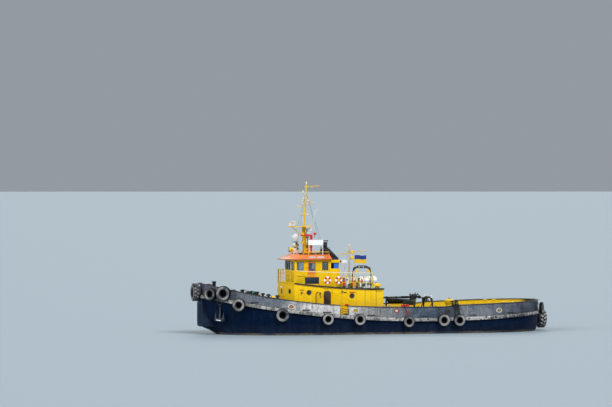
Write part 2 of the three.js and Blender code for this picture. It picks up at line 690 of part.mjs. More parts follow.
// Wheelhouse: hollow, its windows cut, with a door on each side
const WHEELHOUSE = { aft: 3580, corner: 6610, nose: 6750, half: 1600, noseHalf: 900 };
const wheelPlan = (inset) => [
  [WHEELHOUSE.aft + inset, -WHEELHOUSE.half + inset],
  [WHEELHOUSE.corner - inset / 2, -WHEELHOUSE.half + inset],
  [WHEELHOUSE.nose - inset, -WHEELHOUSE.noseHalf + inset / 3],
  [WHEELHOUSE.nose - inset, WHEELHOUSE.noseHalf - inset / 3],
  [WHEELHOUSE.corner - inset / 2, WHEELHOUSE.half - inset],
  [WHEELHOUSE.aft + inset, WHEELHOUSE.half - inset],
];
const WINDOW_Z = [5140, 5820];
const SIDE_WINDOWS = [[5880, 6430], [3820, 4330]];
const FRONT_WINDOWS = [[-820, -310], [-255, 255], [310, 820]];
const BRIDGE_DOOR = { x0: 4840, x1: 5540 };
const bridgeDoorZ = boatDeckHeight(BRIDGE_DOOR.x1) + 60;
const BRIDGE_DOOR_TOP = 5880;
const windowHoles = join(
  ...SIDE_WINDOWS.map(([x0, x1]) => block(x0, x1, -4000, 4000, ...WINDOW_Z)),
  ...FRONT_WINDOWS.map(([y0, y1]) => block(6600, 6900, y0, y1, ...WINDOW_Z)),
  block(3500, 3700, -1350, -800, ...WINDOW_Z),
  block(3500, 3700, 800, 1350, ...WINDOW_Z),
);
const cornerWindow = block(-240, 240, -300, 300, ...WINDOW_Z)
  .rotate([0, 0, -78.7])
  .translate([(WHEELHOUSE.corner + WHEELHOUSE.nose) / 2, (WHEELHOUSE.half + WHEELHOUSE.noseHalf) / 2, 0]);
const wheelhouse = prism(wheelPlan(0), 0, WHEELHOUSE_TOP_Z)
  .subtract(prism(wheelPlan(WHEELHOUSE_WALL), -10, 7000))
  .subtract(underBoatDeck)
  .subtract(windowHoles)
  .subtract(cornerWindow)
  .subtract(mirrored(cornerWindow))
  .subtract(block(BRIDGE_DOOR.x0, BRIDGE_DOOR.x1, -4000, 4000, bridgeDoorZ, BRIDGE_DOOR_TOP));
const bridgeHinges = fixedHinges(BRIDGE_DOOR.x1, bridgeDoorZ, BRIDGE_DOOR_TOP, WHEELHOUSE.half);
piece('wheelhouse', join(wheelhouse, bridgeHinges, mirrored(bridgeHinges)), 'yellow');
const bridgeDoorWindow = block(BRIDGE_DOOR.x0 + 90, BRIDGE_DOOR.x1 - 90, 1400, 1900, 5100, 5740);
const bridgeDoor = sideDoor(
  BRIDGE_DOOR.x0, BRIDGE_DOOR.x1, bridgeDoorZ, BRIDGE_DOOR_TOP, WHEELHOUSE.half, 45,
).subtract(bridgeDoorWindow);
piece('wheelhouse_door_port', bridgeDoor, 'orange');
piece('wheelhouse_door_starboard', mirrored(bridgeDoor), 'orange');

// Wheelhouse roof: a flat brim with a low hipped crown
const ROOF_Z = WHEELHOUSE_TOP_Z + GAP;
const ROOF_BRIM = 100;
const ROOF_CROWN_Z = 6440;
const brimPlan = [
  [3550, -1830], [6750, -1830], [7400, -1000], [7400, 1000], [6750, 1830], [3550, 1830],
];
const crownPlan = [
  [3680, -1350], [6050, -1350], [6420, -800], [6420, 800], [6050, 1350], [3680, 1350],
];
function hip(lower, upper, z0, z1) {
  const points = [...lower.map(([x, y]) => [x, y, z0]), ...upper.map(([x, y]) => [x, y, z1])];
  const count = lower.length;
  const index = [];
  for (let i = 0; i < count; i += 1) {
    const next = (i + 1) % count;
    index.push(i, next, count + next, i, count + next, count + i);
  }
  for (let i = 1; i + 1 < count; i += 1) index.push(0, i + 1, i, count, count + i, count + i + 1);
  const geometry = new THREE.BufferGeometry();
  geometry.setAttribute('position', new THREE.Float32BufferAttribute(points.flat(), 3));
  geometry.setIndex(index);
  return solid(geometry);
}
const roof = join(
  prism(brimPlan, ROOF_Z, ROOF_Z + ROOF_BRIM),
  hip(brimPlan, crownPlan, ROOF_Z + ROOF_BRIM - 5, ROOF_CROWN_Z),
);

const FUNNEL = { aft: 2670, fore: 3440, half: 600, top: 6850, lip: 6100, hoodFore: 3930, hoodFoot: 6470 };

// Open shelter behind the wheelhouse: low side walls, posts and a flat canopy round the funnel
const SHELTER = { aft: 2690, post: 2860, half: 1600, wall: 60, rail: 5270, canopyLow: 5740, canopyHigh: 5960 };
const shelterEnd = WHEELHOUSE.aft - GAP;
const shelterWall = sidePrism([
  [SHELTER.aft, 3500], [shelterEnd, 3500], [shelterEnd, SHELTER.rail], [SHELTER.post, SHELTER.rail],
], SHELTER.half - SHELTER.wall, SHELTER.half);
const shelterSide = join(
  shelterWall,
  block(SHELTER.post, SHELTER.post + 60, SHELTER.half - SHELTER.wall, SHELTER.half, 5000, SHELTER.canopyHigh),
  block(SHELTER.post, SHELTER.post + 60, 900, 960, 3500, SHELTER.canopyHigh),
  block(SHELTER.post, SHELTER.post + 60, 900, SHELTER.half - 10, 3500, 4200),
);
const canopy = block(
  SHELTER.post - 20, shelterEnd, -SHELTER.half - 60, SHELTER.half + 60, SHELTER.canopyLow, SHELTER.canopyHigh,
).subtract(block(2600, FUNNEL.fore + 20, -FUNNEL.half - 60, FUNNEL.half + 60, 5000, 6500));
const shelter = join(shelterSide, mirrored(shelterSide), canopy).subtract(underBoatDeck);
piece('aft_shelter', shelter, 'yellow');

// Funnel trunk, whose hood leans forward over the wheelhouse roof, and its exhaust pipes
const funnelSide = [
  [FUNNEL.aft, 3500], [FUNNEL.fore, 3500], [FUNNEL.fore, FUNNEL.hoodFoot], [FUNNEL.hoodFore, FUNNEL.hoodFoot],
  [FUNNEL.hoodFore, FUNNEL.top - 120], [FUNNEL.hoodFore - 120, FUNNEL.top], [FUNNEL.fore, FUNNEL.top],
  [FUNNEL.aft, FUNNEL.lip],
];
const funnelBody = sidePrism(funnelSide, -FUNNEL.half, FUNNEL.half).subtract(underBoatDeck);
piece('funnel', funnelBody, 'black');
const EXHAUST = { x: 3640, y: 250, foot: FUNNEL.top + GAP, top: 7530, radius: 115, bore: 95, depth: 300 };
const exhausts = join(
  block(FUNNEL.fore + 10, FUNNEL.hoodFore - 140, -420, 420, EXHAUST.foot, EXHAUST.foot + 70),
  bar([EXHAUST.x, EXHAUST.y, EXHAUST.foot + 30], [EXHAUST.x, EXHAUST.y, EXHAUST.top], EXHAUST.radius, 12),
  bar([EXHAUST.x, -EXHAUST.y, EXHAUST.foot + 30], [EXHAUST.x, -EXHAUST.y, EXHAUST.top], EXHAUST.radius, 12),
  bar([EXHAUST.x - 110, 0, EXHAUST.foot + 30], [EXHAUST.x - 110, 0, EXHAUST.top - 250], 70, 10),
).subtract(join(...[EXHAUST.y, -EXHAUST.y].map((y) => (
  bar([EXHAUST.x, y, EXHAUST.top - EXHAUST.depth], [EXHAUST.x, y, EXHAUST.top + 50], EXHAUST.bore, 12)
))));
piece('exhaust_pipes', exhausts, 'black');

// Main mast on the wheelhouse roof, with its platform, yards and stays
const MAST = { trunkTop: 8630 };
const mastTrunk = hip(
  [[5030, -200], [5470, -200], [5470, 200], [5030, 200]],
  [[5300, -140], [5600, -140], [5600, 140], [5300, 140]],
  ROOF_CROWN_Z + GAP, MAST.trunkTop + 40,
);
const mast = join(
  mastTrunk,
  block(4860, 6700, -430, 430, MAST.trunkTop, MAST.trunkTop + 60),
  bar([5300, 0, MAST.trunkTop + 30], [4760, 0, MAST.trunkTop + 220], 30, 6),
  bar([5600, 0, 7900], [6450, 0, MAST.trunkTop + 20], 35, 6),
  bar([5430, 0, MAST.trunkTop + 20], [5230, 0, 12150], 75, 10, 45),
  bar([5400, 0, 11900], [4120, 0, 11980], 30, 6),
  bar([5960, 0, 10260], [5300, 0, 10300], 28, 6),
  bar([5300, 0, 10500], [4630, 0, 10550], 28, 6),
  bar([5300, -900, 10700], [5300, 900, 10700], 28, 6),
  bar([5400, -1100, 9600], [5400, 1100, 9600], 32, 6),
);

// Radar: pedestal fixed on the mast platform and the turning scanner
const RADAR = { x: 6440, z: MAST.trunkTop + 60 };
const pedestal = upright([
  [0, RADAR.z - 20], [240, RADAR.z - 20], [240, RADAR.z + 260], [45, RADAR.z + 260], [45, RADAR.z + 266 - GAP],
  [0, RADAR.z + 266 - GAP],
], RADAR.x, 0);
piece('mast', mast.add(pedestal), 'yellow');
const scanner = join(
  block(RADAR.x - 70, RADAR.x + 70, -900, 900, RADAR.z + 330, RADAR.z + 440),
  upright([[0, RADAR.z + 266], [80, RADAR.z + 266], [80, RADAR.z + 360], [0, RADAR.z + 360]], RADAR.x, 0, 12),
);
piece('radar_scanner', scanner, 'white');

// Fire monitor: riser, turning head and tilting barrel
const MONITOR = { x: 5120, y: 1150, z: 7950 };
const riser = join(
  bar([MONITOR.x, MONITOR.y, ROOF_CROWN_Z + GAP], [MONITOR.x, MONITOR.y, MONITOR.z - 254 - GAP], 80, 12),
  bar([MONITOR.x, MONITOR.y, ROOF_CROWN_Z + GAP], [MONITOR.x, MONITOR.y, ROOF_CROWN_Z + 40], 160, 12),
);
piece('monitor_riser', riser, 'red');
const monitorHead = join(
  bar([MONITOR.x, MONITOR.y, MONITOR.z - 254], [MONITOR.x, MONITOR.y, MONITOR.z - 130], 110, 12),
  block(MONITOR.x - 70, MONITOR.x + 70, MONITOR.y - 130, MONITOR.y - 90, MONITOR.z - 140, MONITOR.z + 70),
  block(MONITOR.x - 70, MONITOR.x + 70, MONITOR.y + 90, MONITOR.y + 130, MONITOR.z - 140, MONITOR.z + 70),
  block(MONITOR.x - 70, MONITOR.x + 70, MONITOR.y - 130, MONITOR.y + 130, MONITOR.z - 140, MONITOR.z - 105),
);
piece('monitor_head', monitorHead, 'red');
const barrel = join(
  bar([MONITOR.x - 60, MONITOR.y, MONITOR.z], [MONITOR.x + 900, MONITOR.y, MONITOR.z + 40], 75, 12, 42),
  bar([MONITOR.x, MONITOR.y - 90 + GAP, MONITOR.z], [MONITOR.x, MONITOR.y + 90 - GAP, MONITOR.z], 60, 12),
);
piece('monitor_barrel', barrel, 'red');

// Compass binnacle and searchlight on the roof
const BINNACLE = { x: 6150, y: 0 };
const binnacle = upright([
  [0, ROOF_CROWN_Z + GAP], [230, ROOF_CROWN_Z + GAP], [150, 6700], [150, 7560], [240, 7680], [240, 7900], [0, 8130],
], BINNACLE.x, BINNACLE.y);
piece('binnacle', binnacle, 'white');
const SEARCHLIGHT = { x: 6650, y: 600, z: 6560 };
const lightPost = bar(
  [SEARCHLIGHT.x, SEARCHLIGHT.y, 6080], [SEARCHLIGHT.x, SEARCHLIGHT.y, SEARCHLIGHT.z - GAP], 45, 8,
);
piece('wheelhouse_roof', roof.add(lightPost), 'orange');
const searchlight = join(
  bar([SEARCHLIGHT.x, SEARCHLIGHT.y, SEARCHLIGHT.z], [SEARCHLIGHT.x, SEARCHLIGHT.y, SEARCHLIGHT.z + 120], 40, 8),
  bar(
    [SEARCHLIGHT.x - 180, SEARCHLIGHT.y, SEARCHLIGHT.z + 250],
    [SEARCHLIGHT.x + 200, SEARCHLIGHT.y, SEARCHLIGHT.z + 250], 180, 14,
  ),
);
piece('searchlight', searchlight, 'yellow');

// Boards: a blank dark board at the boat deck's edge and a white wind screen on the roof
const BOARD = { x0: 4940, x1: 6100, y: 2851.4, thick: 40, z1: 4610 };
const board = block(
  BOARD.x0, BOARD.x1, BOARD.y, BOARD.y + BOARD.thick, boatDeckHeight(BOARD.x1) + 20, BOARD.z1,
);
piece('blank_board', board, 'black');
const SCREEN = { x0: 4200, x1: 5450, y0: 1400, y1: 1450, z0: 7180, z1: 7600, leg: 25 };
const screenLegs = [SCREEN.x0 + 30, SCREEN.x1 - 30].map((x) => (
  bar([x, SCREEN.y0 + SCREEN.leg, 6250], [x, SCREEN.y0 + SCREEN.leg, SCREEN.z0 + 20], SCREEN.leg, 6)
));
const screen = join(block(SCREEN.x0, SCREEN.x1, SCREEN.y0, SCREEN.y1, SCREEN.z0, SCREEN.z1), ...screenLegs)
  .subtract(roof.translate([0, 0, GAP]));
piece('wind_screen', screen, 'white');
const whip = pipe([
  [4550, -300, ROOF_CROWN_Z + GAP], [4480, -300, 9500], [4300, -300, 10050], [4100, -300, 10100],
], 24, 6);
piece('whip_antenna', whip.subtract(block(4000, 5000, -600, 0, 6300, ROOF_CROWN_Z + GAP)), 'white');

// Railing round the boat deck, in three sections: one on each side and one at the front
const RAIL_INSET = 30;
const SIDE_RAIL = [[450, HOUSE.half + RAIL_INSET], [HOUSE.fore - 90, HOUSE.half + RAIL_INSET]];
const FRONT_RAIL = [
  [HOUSE.fore - 5, HOUSE.half - 20], [HOUSE.nose, HOUSE.noseHalf], [HOUSE.nose, -HOUSE.noseHalf],
  [HOUSE.fore - 5, 20 - HOUSE.half],
];
const RAIL_LEVELS = [0.35, 0.68, 1];
const railTopZ = (x) => 4900 + 4.5e-6 * (x - HOUSE.aft) ** 2;
const railZ = (x, level) => boatDeckHeight(x) + (railTopZ(x) - boatDeckHeight(x)) * level;

function railPosts(path) {
  const posts = [];
  for (let i = 0; i + 1 < path.length; i += 1) {
    const [x0, y0] = path[i];
    const [x1, y1] = path[i + 1];
    const count = Math.max(1, Math.round(Math.hypot(x1 - x0, y1 - y0) / 1500));
    for (let k = 0; k < count; k += 1) {
      const share = k / count;
      posts.push([x0 + (x1 - x0) * share, y0 + (y1 - y0) * share]);
    }
  }
  posts.push(path.at(-1));
  return posts;
}

function railing(path) {
  const posts = railPosts(path);
  return join(
    ...posts.map(([x, y]) => bar([x, y, boatDeckHeight(x) - 50], [x, y, railTopZ(x) + 10], 26, 5)),
    ...RAIL_LEVELS.map((level) => bars(posts.map(([x, y]) => [x, y, railZ(x, level)]), 18, 3)),
  ).subtract(underBoatDeck);
}

piece('boat_deck_railing_port', railing(SIDE_RAIL), 'yellow');
piece('boat_deck_railing_starboard', mirrored(railing(SIDE_RAIL)), 'yellow');
piece('boat_deck_railing_front', railing(FRONT_RAIL), 'yellow');

// Signal mast on the after boat deck, with its gaff, and the flag
const AFT_MAST_X = 1600;
const HALYARD = { x: 1150, radius: 10 };
const aftMast = join(
  bar([AFT_MAST_X, 0, 3500], [AFT_MAST_X, 0, 7060], 55, 10, 35),
  bar([AFT_MAST_X, 0, 6600], [90, 0, 6640], 24, 6),
  bar([AFT_MAST_X, 0, 6440], [2200, 0, 6460], 24, 6),
  bar([HALYARD.x, 0, 3500], [HALYARD.x, 0, 6620], HALYARD.radius, 6),
).subtract(underBoatDeck);
piece('signal_mast', aftMast, 'yellow');
const hoistX = HALYARD.x - HALYARD.radius * Math.cos(Math.PI / 6) - GAP;
const ENSIGN = { fly: 160, low: 5640, high: 6300, halfThick: 12, wave: 45, turns: 1.25, steps: 12 };
const ensignLine = Array.from({ length: ENSIGN.steps + 1 }, (_, i) => {
  const share = i / ENSIGN.steps;
  return [hoistX + (ENSIGN.fly - hoistX) * share, ENSIGN.wave * share * Math.sin(2 * Math.PI * ENSIGN.turns * share)];
});
const ensignPlan = [
  ...ensignLine.map(([x, y]) => [x, y - ENSIGN.halfThick]),
  ...ensignLine.map(([x, y]) => [x, y + ENSIGN.halfThick]).reverse(),
];
piece('ensign', prism(ensignPlan, ENSIGN.low, ENSIGN.high), 'cloth');

// Liferaft capsule and its cradle
const RAFT = { x: 330, y: 1000, z: 4270, radius: 330, half: 740 };
const raft = solid(turned([
  [0, -RAFT.half], [RAFT.radius * 0.8, -RAFT.half], [RAFT.radius, -RAFT.half + 90],
  [RAFT.radius, RAFT.half - 90], [RAFT.radius * 0.8, RAFT.half], [0, RAFT.half],
], 18).rotateZ(Math.PI / 2).translate(RAFT.x, RAFT.y, RAFT.z));
piece('liferaft', raft, 'white');
const saddle = (x) => block(x - 40, x + 40, RAFT.y - 330, RAFT.y + 330, 3400, RAFT.z - 80);
const raftSpace = solid(turned([
  [0, -900], [RAFT.radius + GAP, -900], [RAFT.radius + GAP, 900], [0, 900],
], 18).rotateZ(Math.PI / 2).translate(RAFT.x, RAFT.y, RAFT.z));
const cradle = join(
  saddle(RAFT.x - 450),
  saddle(RAFT.x + 450),
  block(RAFT.x - 490, RAFT.x + 490, RAFT.y - 50, RAFT.y + 50, 3400, 3950),
).subtract(raftSpace).subtract(underBoatDeck);
piece('raft_cradle', cradle, 'yellow');
const RACK = { aft: 200, fore: 1720, y: 1500, shoulder: 5000, top: 5380, round: 130 };
const arch = pipe([
  [RACK.fore, RACK.y, 3500], [RACK.fore, RACK.y, RACK.shoulder], [RACK.fore - RACK.round, RACK.y, RACK.top],
  [RACK.aft + RACK.round, RACK.y, RACK.top], [RACK.aft, RACK.y, RACK.shoulder], [RACK.aft, RACK.y, 3500],
], 40, 6, 14).subtract(underBoatDeck);
piece('rope_rack', arch, 'black');

// Anchor windlass on the foredeck
const WINDLASS = { x: 9700, z: 3110 };
const cheekSide = [
  [WINDLASS.x - 350, 2000], [WINDLASS.x + 350, 2000], [WINDLASS.x + 200, 3420], [WINDLASS.x - 200, 3420],
];
const windlassFrame = join(
  sidePrism(cheekSide, -620, -540),
  sidePrism(cheekSide, 540, 620),
  block(WINDLASS.x - 350, WINDLASS.x + 350, -620, 620, 2000, 2560),
).subtract(underDeck()).subtract(bar([WINDLASS.x, -1500, WINDLASS.z], [WINDLASS.x, 1500, WINDLASS.z], 71.6, 20));
piece('windlass_frame', windlassFrame, 'green');
const windlassDrum = join(
  bar([WINDLASS.x, -1150, WINDLASS.z], [WINDLASS.x, 1150, WINDLASS.z], 70, 14),
  bar([WINDLASS.x, -1150, WINDLASS.z], [WINDLASS.x, -700, WINDLASS.z], 170, 12),
  bar([WINDLASS.x, 700, WINDLASS.z], [WINDLASS.x, 1150, WINDLASS.z], 170, 12),
  bar([WINDLASS.x, -480, WINDLASS.z], [WINDLASS.x, -200, WINDLASS.z], 260, 12),
  bar([WINDLASS.x, 200, WINDLASS.z], [WINDLASS.x, 480, WINDLASS.z], 260, 12),
);
piece('windlass_drum', windlassDrum, 'black');

// Double bollards: [name, x, y]
const BITT_HEIGHT = 960;
const BITTS = [
  ['bollards_fore_port', 10380, 2500],
  ['bollards_fore_starboard', 10380, -2500],
  ['bollards_aft_port', -11300, 2450],
  ['bollards_aft_starboard', -11300, -2450],
];
for (const [name, x, y] of BITTS) {
  const foot = deckZ(x) - 200;
  const top = deckZ(x) + BITT_HEIGHT;
  const posts2 = [-380, 380].map((along) => upright([
    [0, foot], [150, foot], [150, top - 90], [185, top - 60], [185, top], [0, top],
  ], x + along, y, 14));
  const base = block(x - 640, x + 640, y - 230, y + 230, foot, deckZ(x) + 90);
  piece(name, join(...posts2, base).subtract(underDeck()), 'black');
}
const BOW_POST = { x: 12950, foot: 2600, top: 4260 };
const bowPost = join(
  upright([
    [0, BOW_POST.foot], [140, BOW_POST.foot], [140, BOW_POST.top - 90], [175, BOW_POST.top - 70],
    [175, BOW_POST.top], [0, BOW_POST.top],
  ], BOW_POST.x, 0, 14),
  bar([BOW_POST.x, -380, BOW_POST.top - 250], [BOW_POST.x, 380, BOW_POST.top - 250], 50, 10),
).subtract(underDeck());
piece('bow_post', bowPost, 'black');

// Towing gear: pivot post behind the deckhouse, swinging hook and the arc rail that carries it
const PIVOT = { x: -950, z: 2780 };
const ARC_RADIUS = 2900;
const pivotPost = join(
  bar([PIVOT.x, 0, 1100], [PIVOT.x, 0, PIVOT.z - 80 - GAP], 170, 16),
  bar([PIVOT.x, 0, PIVOT.z - 200], [PIVOT.x, 0, PIVOT.z + 150], 60, 16),
).subtract(underDeck());
piece('tow_pivot_post', pivotPost, 'black');
const hookLoop = solid(turned([
  [60, -50], [230, -50], [230, 50], [60, 50], [60, -50],
], 14)).rotate([90, 0, 0]);
const towHook = join(
  bar([PIVOT.x, 0, PIVOT.z - 80], [PIVOT.x, 0, PIVOT.z + 80], 150, 16),
  bar([PIVOT.x - 100, 0, PIVOT.z], [PIVOT.x - 3000, 0, PIVOT.z], 60, 10),
  block(PIVOT.x - 3150, PIVOT.x - 2650, -110, 110, PIVOT.z - 130, PIVOT.z + 170),
  hookLoop.translate([PIVOT.x - 3320, 0, PIVOT.z + 30]),
  block(PIVOT.x - 3120, PIVOT.x - 3060, -60, 60, PIVOT.z + 100, PIVOT.z + 420),
).subtract(bar([PIVOT.x, 0, PIVOT.z - 500], [PIVOT.x, 0, PIVOT.z + 500], 61.4, 20));
piece('tow_hook', towHook, 'black');
const ARC_HALF_ANGLE = 62;
const arcPoints = [];
for (let degrees = -ARC_HALF_ANGLE; degrees <= ARC_HALF_ANGLE + 1e-9; degrees += ARC_HALF_ANGLE / 6) {
  const t = THREE.MathUtils.degToRad(degrees);
  arcPoints.push([PIVOT.x - ARC_RADIUS * Math.cos(t), ARC_RADIUS * Math.sin(t)]);
}
function arcBeam(halfWidth, z0, z1) {
  const side = (radius) => arcPoints.map(([x, y]) => [
    PIVOT.x + ((x - PIVOT.x) * radius) / ARC_RADIUS, (y * radius) / ARC_RADIUS,
  ]);
  return prism([...side(ARC_RADIUS + halfWidth), ...side(ARC_RADIUS - halfWidth).reverse()], z0, z1);
}
const ARC_TOP = PIVOT.z - 160;
const arcLegs = [0, 4, 8, 12].map((i) => arcPoints[i]).map(([x, y]) => (
  bar([x, y, 1100], [x, y, ARC_TOP - 60], 70, 10)
));
piece('towing_arc', join(arcBeam(130, ARC_TOP - 240, ARC_TOP), ...arcLegs).subtract(underDeck()), 'green');
const archBars = pipe([
  [-5150, -1200, 1100], [-5150, -1200, 2550], [-5150, -1000, 2730], [-5150, 1000, 2730], [-5150, 1200, 2550],
  [-5150, 1200, 1100],
], 70, 8, 14);
piece('towing_arch', archBars.subtract(underDeck()), 'black');

// Capstan on the after deck
const CAPSTAN = { x: -7000, y: 0 };
const capstanFoot = deckZ(CAPSTAN.x);
const capstanBase = upright([
  [0, capstanFoot - 200], [450, capstanFoot - 200], [450, capstanFoot + 120], [90, capstanFoot + 120],
  [90, capstanFoot + 126 - GAP], [0, capstanFoot + 126 - GAP],
], CAPSTAN.x, CAPSTAN.y).subtract(underDeck());
piece('capstan_base', capstanBase, 'black');
const drumFoot = capstanFoot + 126;
const capstanDrum = upright([
  [0, drumFoot], [410, drumFoot], [410, drumFoot + 110], [260, drumFoot + 260], [270, drumFoot + 760],
  [430, drumFoot + 930], [430, drumFoot + 1080], [250, drumFoot + 1180], [0, drumFoot + 1210],
], CAPSTAN.x, CAPSTAN.y, 20);
piece('capstan_drum', capstanDrum, 'yellow');

// Propellers with their shafts, and the steering nozzles round them
function propeller() {
  const { x, z, radius } = SCREW;
  const hub = solid(turned([[0, -330], [120, -300], [190, -120], [190, 150], [150, 190], [0, 190]], 20)
    .rotateZ(-Math.PI / 2));
  const blade = (turn) => {
    const outline = [
      [0, 100], [170, 300], [270, 560], [230, 740], [0, radius], [-230, 740], [-270, 560], [-170, 300],
    ];
    const shape = new THREE.Shape(outline.map(([a, b]) => new THREE.Vector2(a, b)));
    const flat = new THREE.ExtrudeGeometry(shape, { depth: 36, bevelEnabled: false });
    flat.translate(0, 0, -18);
    const pitch = THREE.MathUtils.degToRad(68);
    flat.rotateX(Math.PI / 2).rotateZ(pitch);
    return solid(flat.rotateX(THREE.MathUtils.degToRad(turn)));
  };
  const shaft = bar([100, 0, 0], [SHAFT_END_X - x + 8, 0, 0], SHAFT_RADIUS, 20);
  return join(hub, ...[0, 90, 180, 270].map(blade), shaft).translate([x, SCREW.y, z]);
}
const screwPort = propeller();
piece('propeller_port', screwPort, 'bronze');
piece('propeller_starboard', mirrored(screwPort), 'bronze');

function nozzle() {
  const { x, z } = SCREW;
  const half = 480;
  const ring = solid(turned([
    [930, -half], [975, -half], [1010, -200], [1110, 300], [1080, half], [1010, half + 20], [950, half - 60],
    [930, 200], [930, -half],
  ], 24).rotateZ(-Math.PI / 2));
  const stock = bar([0, 0, 1000], [0, 0, STOCK.seatZ - z - GAP], STOCK.radius, 14);
  const palm = block(-260, 260, -150, 150, 1000, 1130);
  const rudder = sidePrism([[-470, -940], [-470, 940], [-900, 800], [-900, -800]], -30, 30);
  return join(ring, stock, palm, rudder).translate([x, SCREW.y, z]);
}
const nozzlePort = nozzle().subtract(hullCutter);
piece('steering_nozzle_port', nozzlePort, 'navy');
piece('steering_nozzle_starboard', mirrored(nozzlePort), 'navy');

export default tug;
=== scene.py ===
# A twin-screw harbour tug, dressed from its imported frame: finishes, fittings, glass, rigging and flag.
# Metres, +X to the bow, +Y to port, +Z up, with the waterline at zero.
import json
from math import atan2, copysign, cos, degrees, hypot, pi, radians, sin

import bmesh
import bpy
from mathutils import Matrix, Vector
from mathutils.bvhtree import BVHTree


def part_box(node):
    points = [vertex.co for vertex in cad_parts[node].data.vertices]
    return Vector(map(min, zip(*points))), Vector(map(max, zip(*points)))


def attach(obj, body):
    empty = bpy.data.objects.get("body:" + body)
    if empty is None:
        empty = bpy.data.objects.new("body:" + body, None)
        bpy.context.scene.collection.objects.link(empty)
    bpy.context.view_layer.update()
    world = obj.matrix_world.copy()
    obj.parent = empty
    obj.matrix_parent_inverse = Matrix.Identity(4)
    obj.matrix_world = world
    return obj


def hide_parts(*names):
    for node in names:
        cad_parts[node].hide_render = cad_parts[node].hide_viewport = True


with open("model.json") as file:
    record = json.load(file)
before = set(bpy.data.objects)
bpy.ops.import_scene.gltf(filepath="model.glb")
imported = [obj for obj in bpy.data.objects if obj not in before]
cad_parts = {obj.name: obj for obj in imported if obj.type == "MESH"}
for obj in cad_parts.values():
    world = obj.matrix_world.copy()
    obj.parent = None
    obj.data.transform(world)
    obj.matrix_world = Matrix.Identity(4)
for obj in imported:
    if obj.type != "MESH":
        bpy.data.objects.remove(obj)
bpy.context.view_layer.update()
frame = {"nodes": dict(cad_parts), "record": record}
nodes = frame["nodes"]
scene = bpy.context.scene
SIDES = ((1, "port"), (-1, "starboard"))

# Studio
# A long lens off the port bow, just above the horizon, with a pale floor at the waterline.
# Soft daylight comes from astern of the camera, and the sky fills the shadows.
CAMERA_SPOT = Vector((65.6, 228.78, 11.65))
CAMERA_AIM = Vector((4.89, -1.4, 10.54))
LENS_MM = 170.6
FLOOR_REACH = 20000


def place(name, data):
    """A new object in the scene."""
    piece = bpy.data.objects.new(name, data)
    scene.collection.objects.link(piece)
    return piece


def new_material(name):
    """A node material, its tree and its surface shader."""
    material = bpy.data.materials.new(name)
    material.use_nodes = True
    return material, material.node_tree, material.node_tree.nodes["Principled BSDF"]


camera_data = bpy.data.cameras.new("camera")
camera_data.lens = LENS_MM
camera_data.sensor_width = 36
camera_data.clip_start = 1
camera_data.clip_end = 2 * FLOOR_REACH
camera = place("camera", camera_data)
camera.location = CAMERA_SPOT
camera.rotation_euler = (CAMERA_AIM - CAMERA_SPOT).to_track_quat("-Z", "Y").to_euler()
scene.camera = camera
scene.view_settings.view_transform = "Standard"

for name, strength, softness, heading in (
        ("key_light", 2.7, 32, (-0.35, 1.0, 1.0)), ("fill_light", 1.9, 40, (1.0, 0.3, 0.45)),
        ("back_light", 0.5, 40, (-0.3, -1.0, 0.8))):
    light_data = bpy.data.lights.new(name, "SUN")
    light_data.energy = strength
    light_data.angle = radians(softness)
    place(name, light_data).rotation_euler = Vector(heading).to_track_quat("Z", "Y").to_euler()

sky = bpy.data.worlds.new("sky")
sky.use_nodes = True
sky.node_tree.nodes["Background"].inputs["Color"].default_value = (0.7, 0.77, 0.86, 1)
sky.node_tree.nodes["Background"].inputs["Strength"].default_value = 0.42
scene.world = sky

floor_mesh = bpy.data.meshes.new("studio_floor")
floor_mesh.from_pydata(
    [(x * FLOOR_REACH, y * FLOOR_REACH, 0) for x, y in ((-1, -1), (1, -1), (1, 1), (-1, 1))], [], [(0, 1, 2, 3)])
floor_paint, _, floor_shader = new_material("studio_floor")
floor_shader.inputs["Base Color"].default_value = (0.3, 0.37, 0.41, 1)
floor_shader.inputs["Roughness"].default_value = 0.6
floor_mesh.materials.append(floor_paint)
place("studio_floor", floor_mesh)

# Paint
# Ship's paint weathers in one way all over: it fades in broad patches, rust runs down from its edges,
# chips show the steel, and spray leaves grime low down. The group below makes that for every finish.
RUST = (0.17, 0.062, 0.022)


def add_node(tree, kind, values=(), **settings):
    """A new node, with a value or a link for each socket that is named."""
    made = tree.nodes.new(kind)
    for key, value in settings.items():
        setattr(made, key, value)
    for key, value in dict(values).items():
        if isinstance(value, bpy.types.NodeSocket):
            tree.links.new(value, made.inputs[key])
        else:
            made.inputs[key].default_value = value
    return made


def combine(tree, operation, first, second):
    """One step of arithmetic on two values."""
    return add_node(tree, "ShaderNodeMath", {0: first, 1: second}, operation=operation).outputs[0]


def spread(tree, value, low, high, to_low=0.0, to_high=1.0):
    """The range from low to high, stretched to another one and held at its ends."""
    sizes = {"Value": value, "From Min": low, "From Max": high, "To Min": to_low, "To Max": to_high}
    return add_node(tree, "ShaderNodeMapRange", sizes).outputs["Result"]


def blend_colours(tree, share, first, second):
    """The first colour, going over to the second as the share grows."""
    first, second = [(*value, 1) if isinstance(value, tuple) else value for value in (first, second)]
    return add_node(tree, "ShaderNodeMix", {0: share, 6: first, 7: second}, data_type="RGBA").outputs[2]


def lay_on(tree, shader, colour, roughness, relief=None, depth=0.0):
    """Links the colour, the roughness and the relief of a finish to its surface."""
    tree.links.new(colour, shader.inputs["Base Color"])
    tree.links.new(roughness, shader.inputs["Roughness"])
    if relief:
        bumps = add_node(tree, "ShaderNodeBump", {"Height": relief, "Distance": depth})
        tree.links.new(bumps.outputs[0], shader.inputs["Normal"])


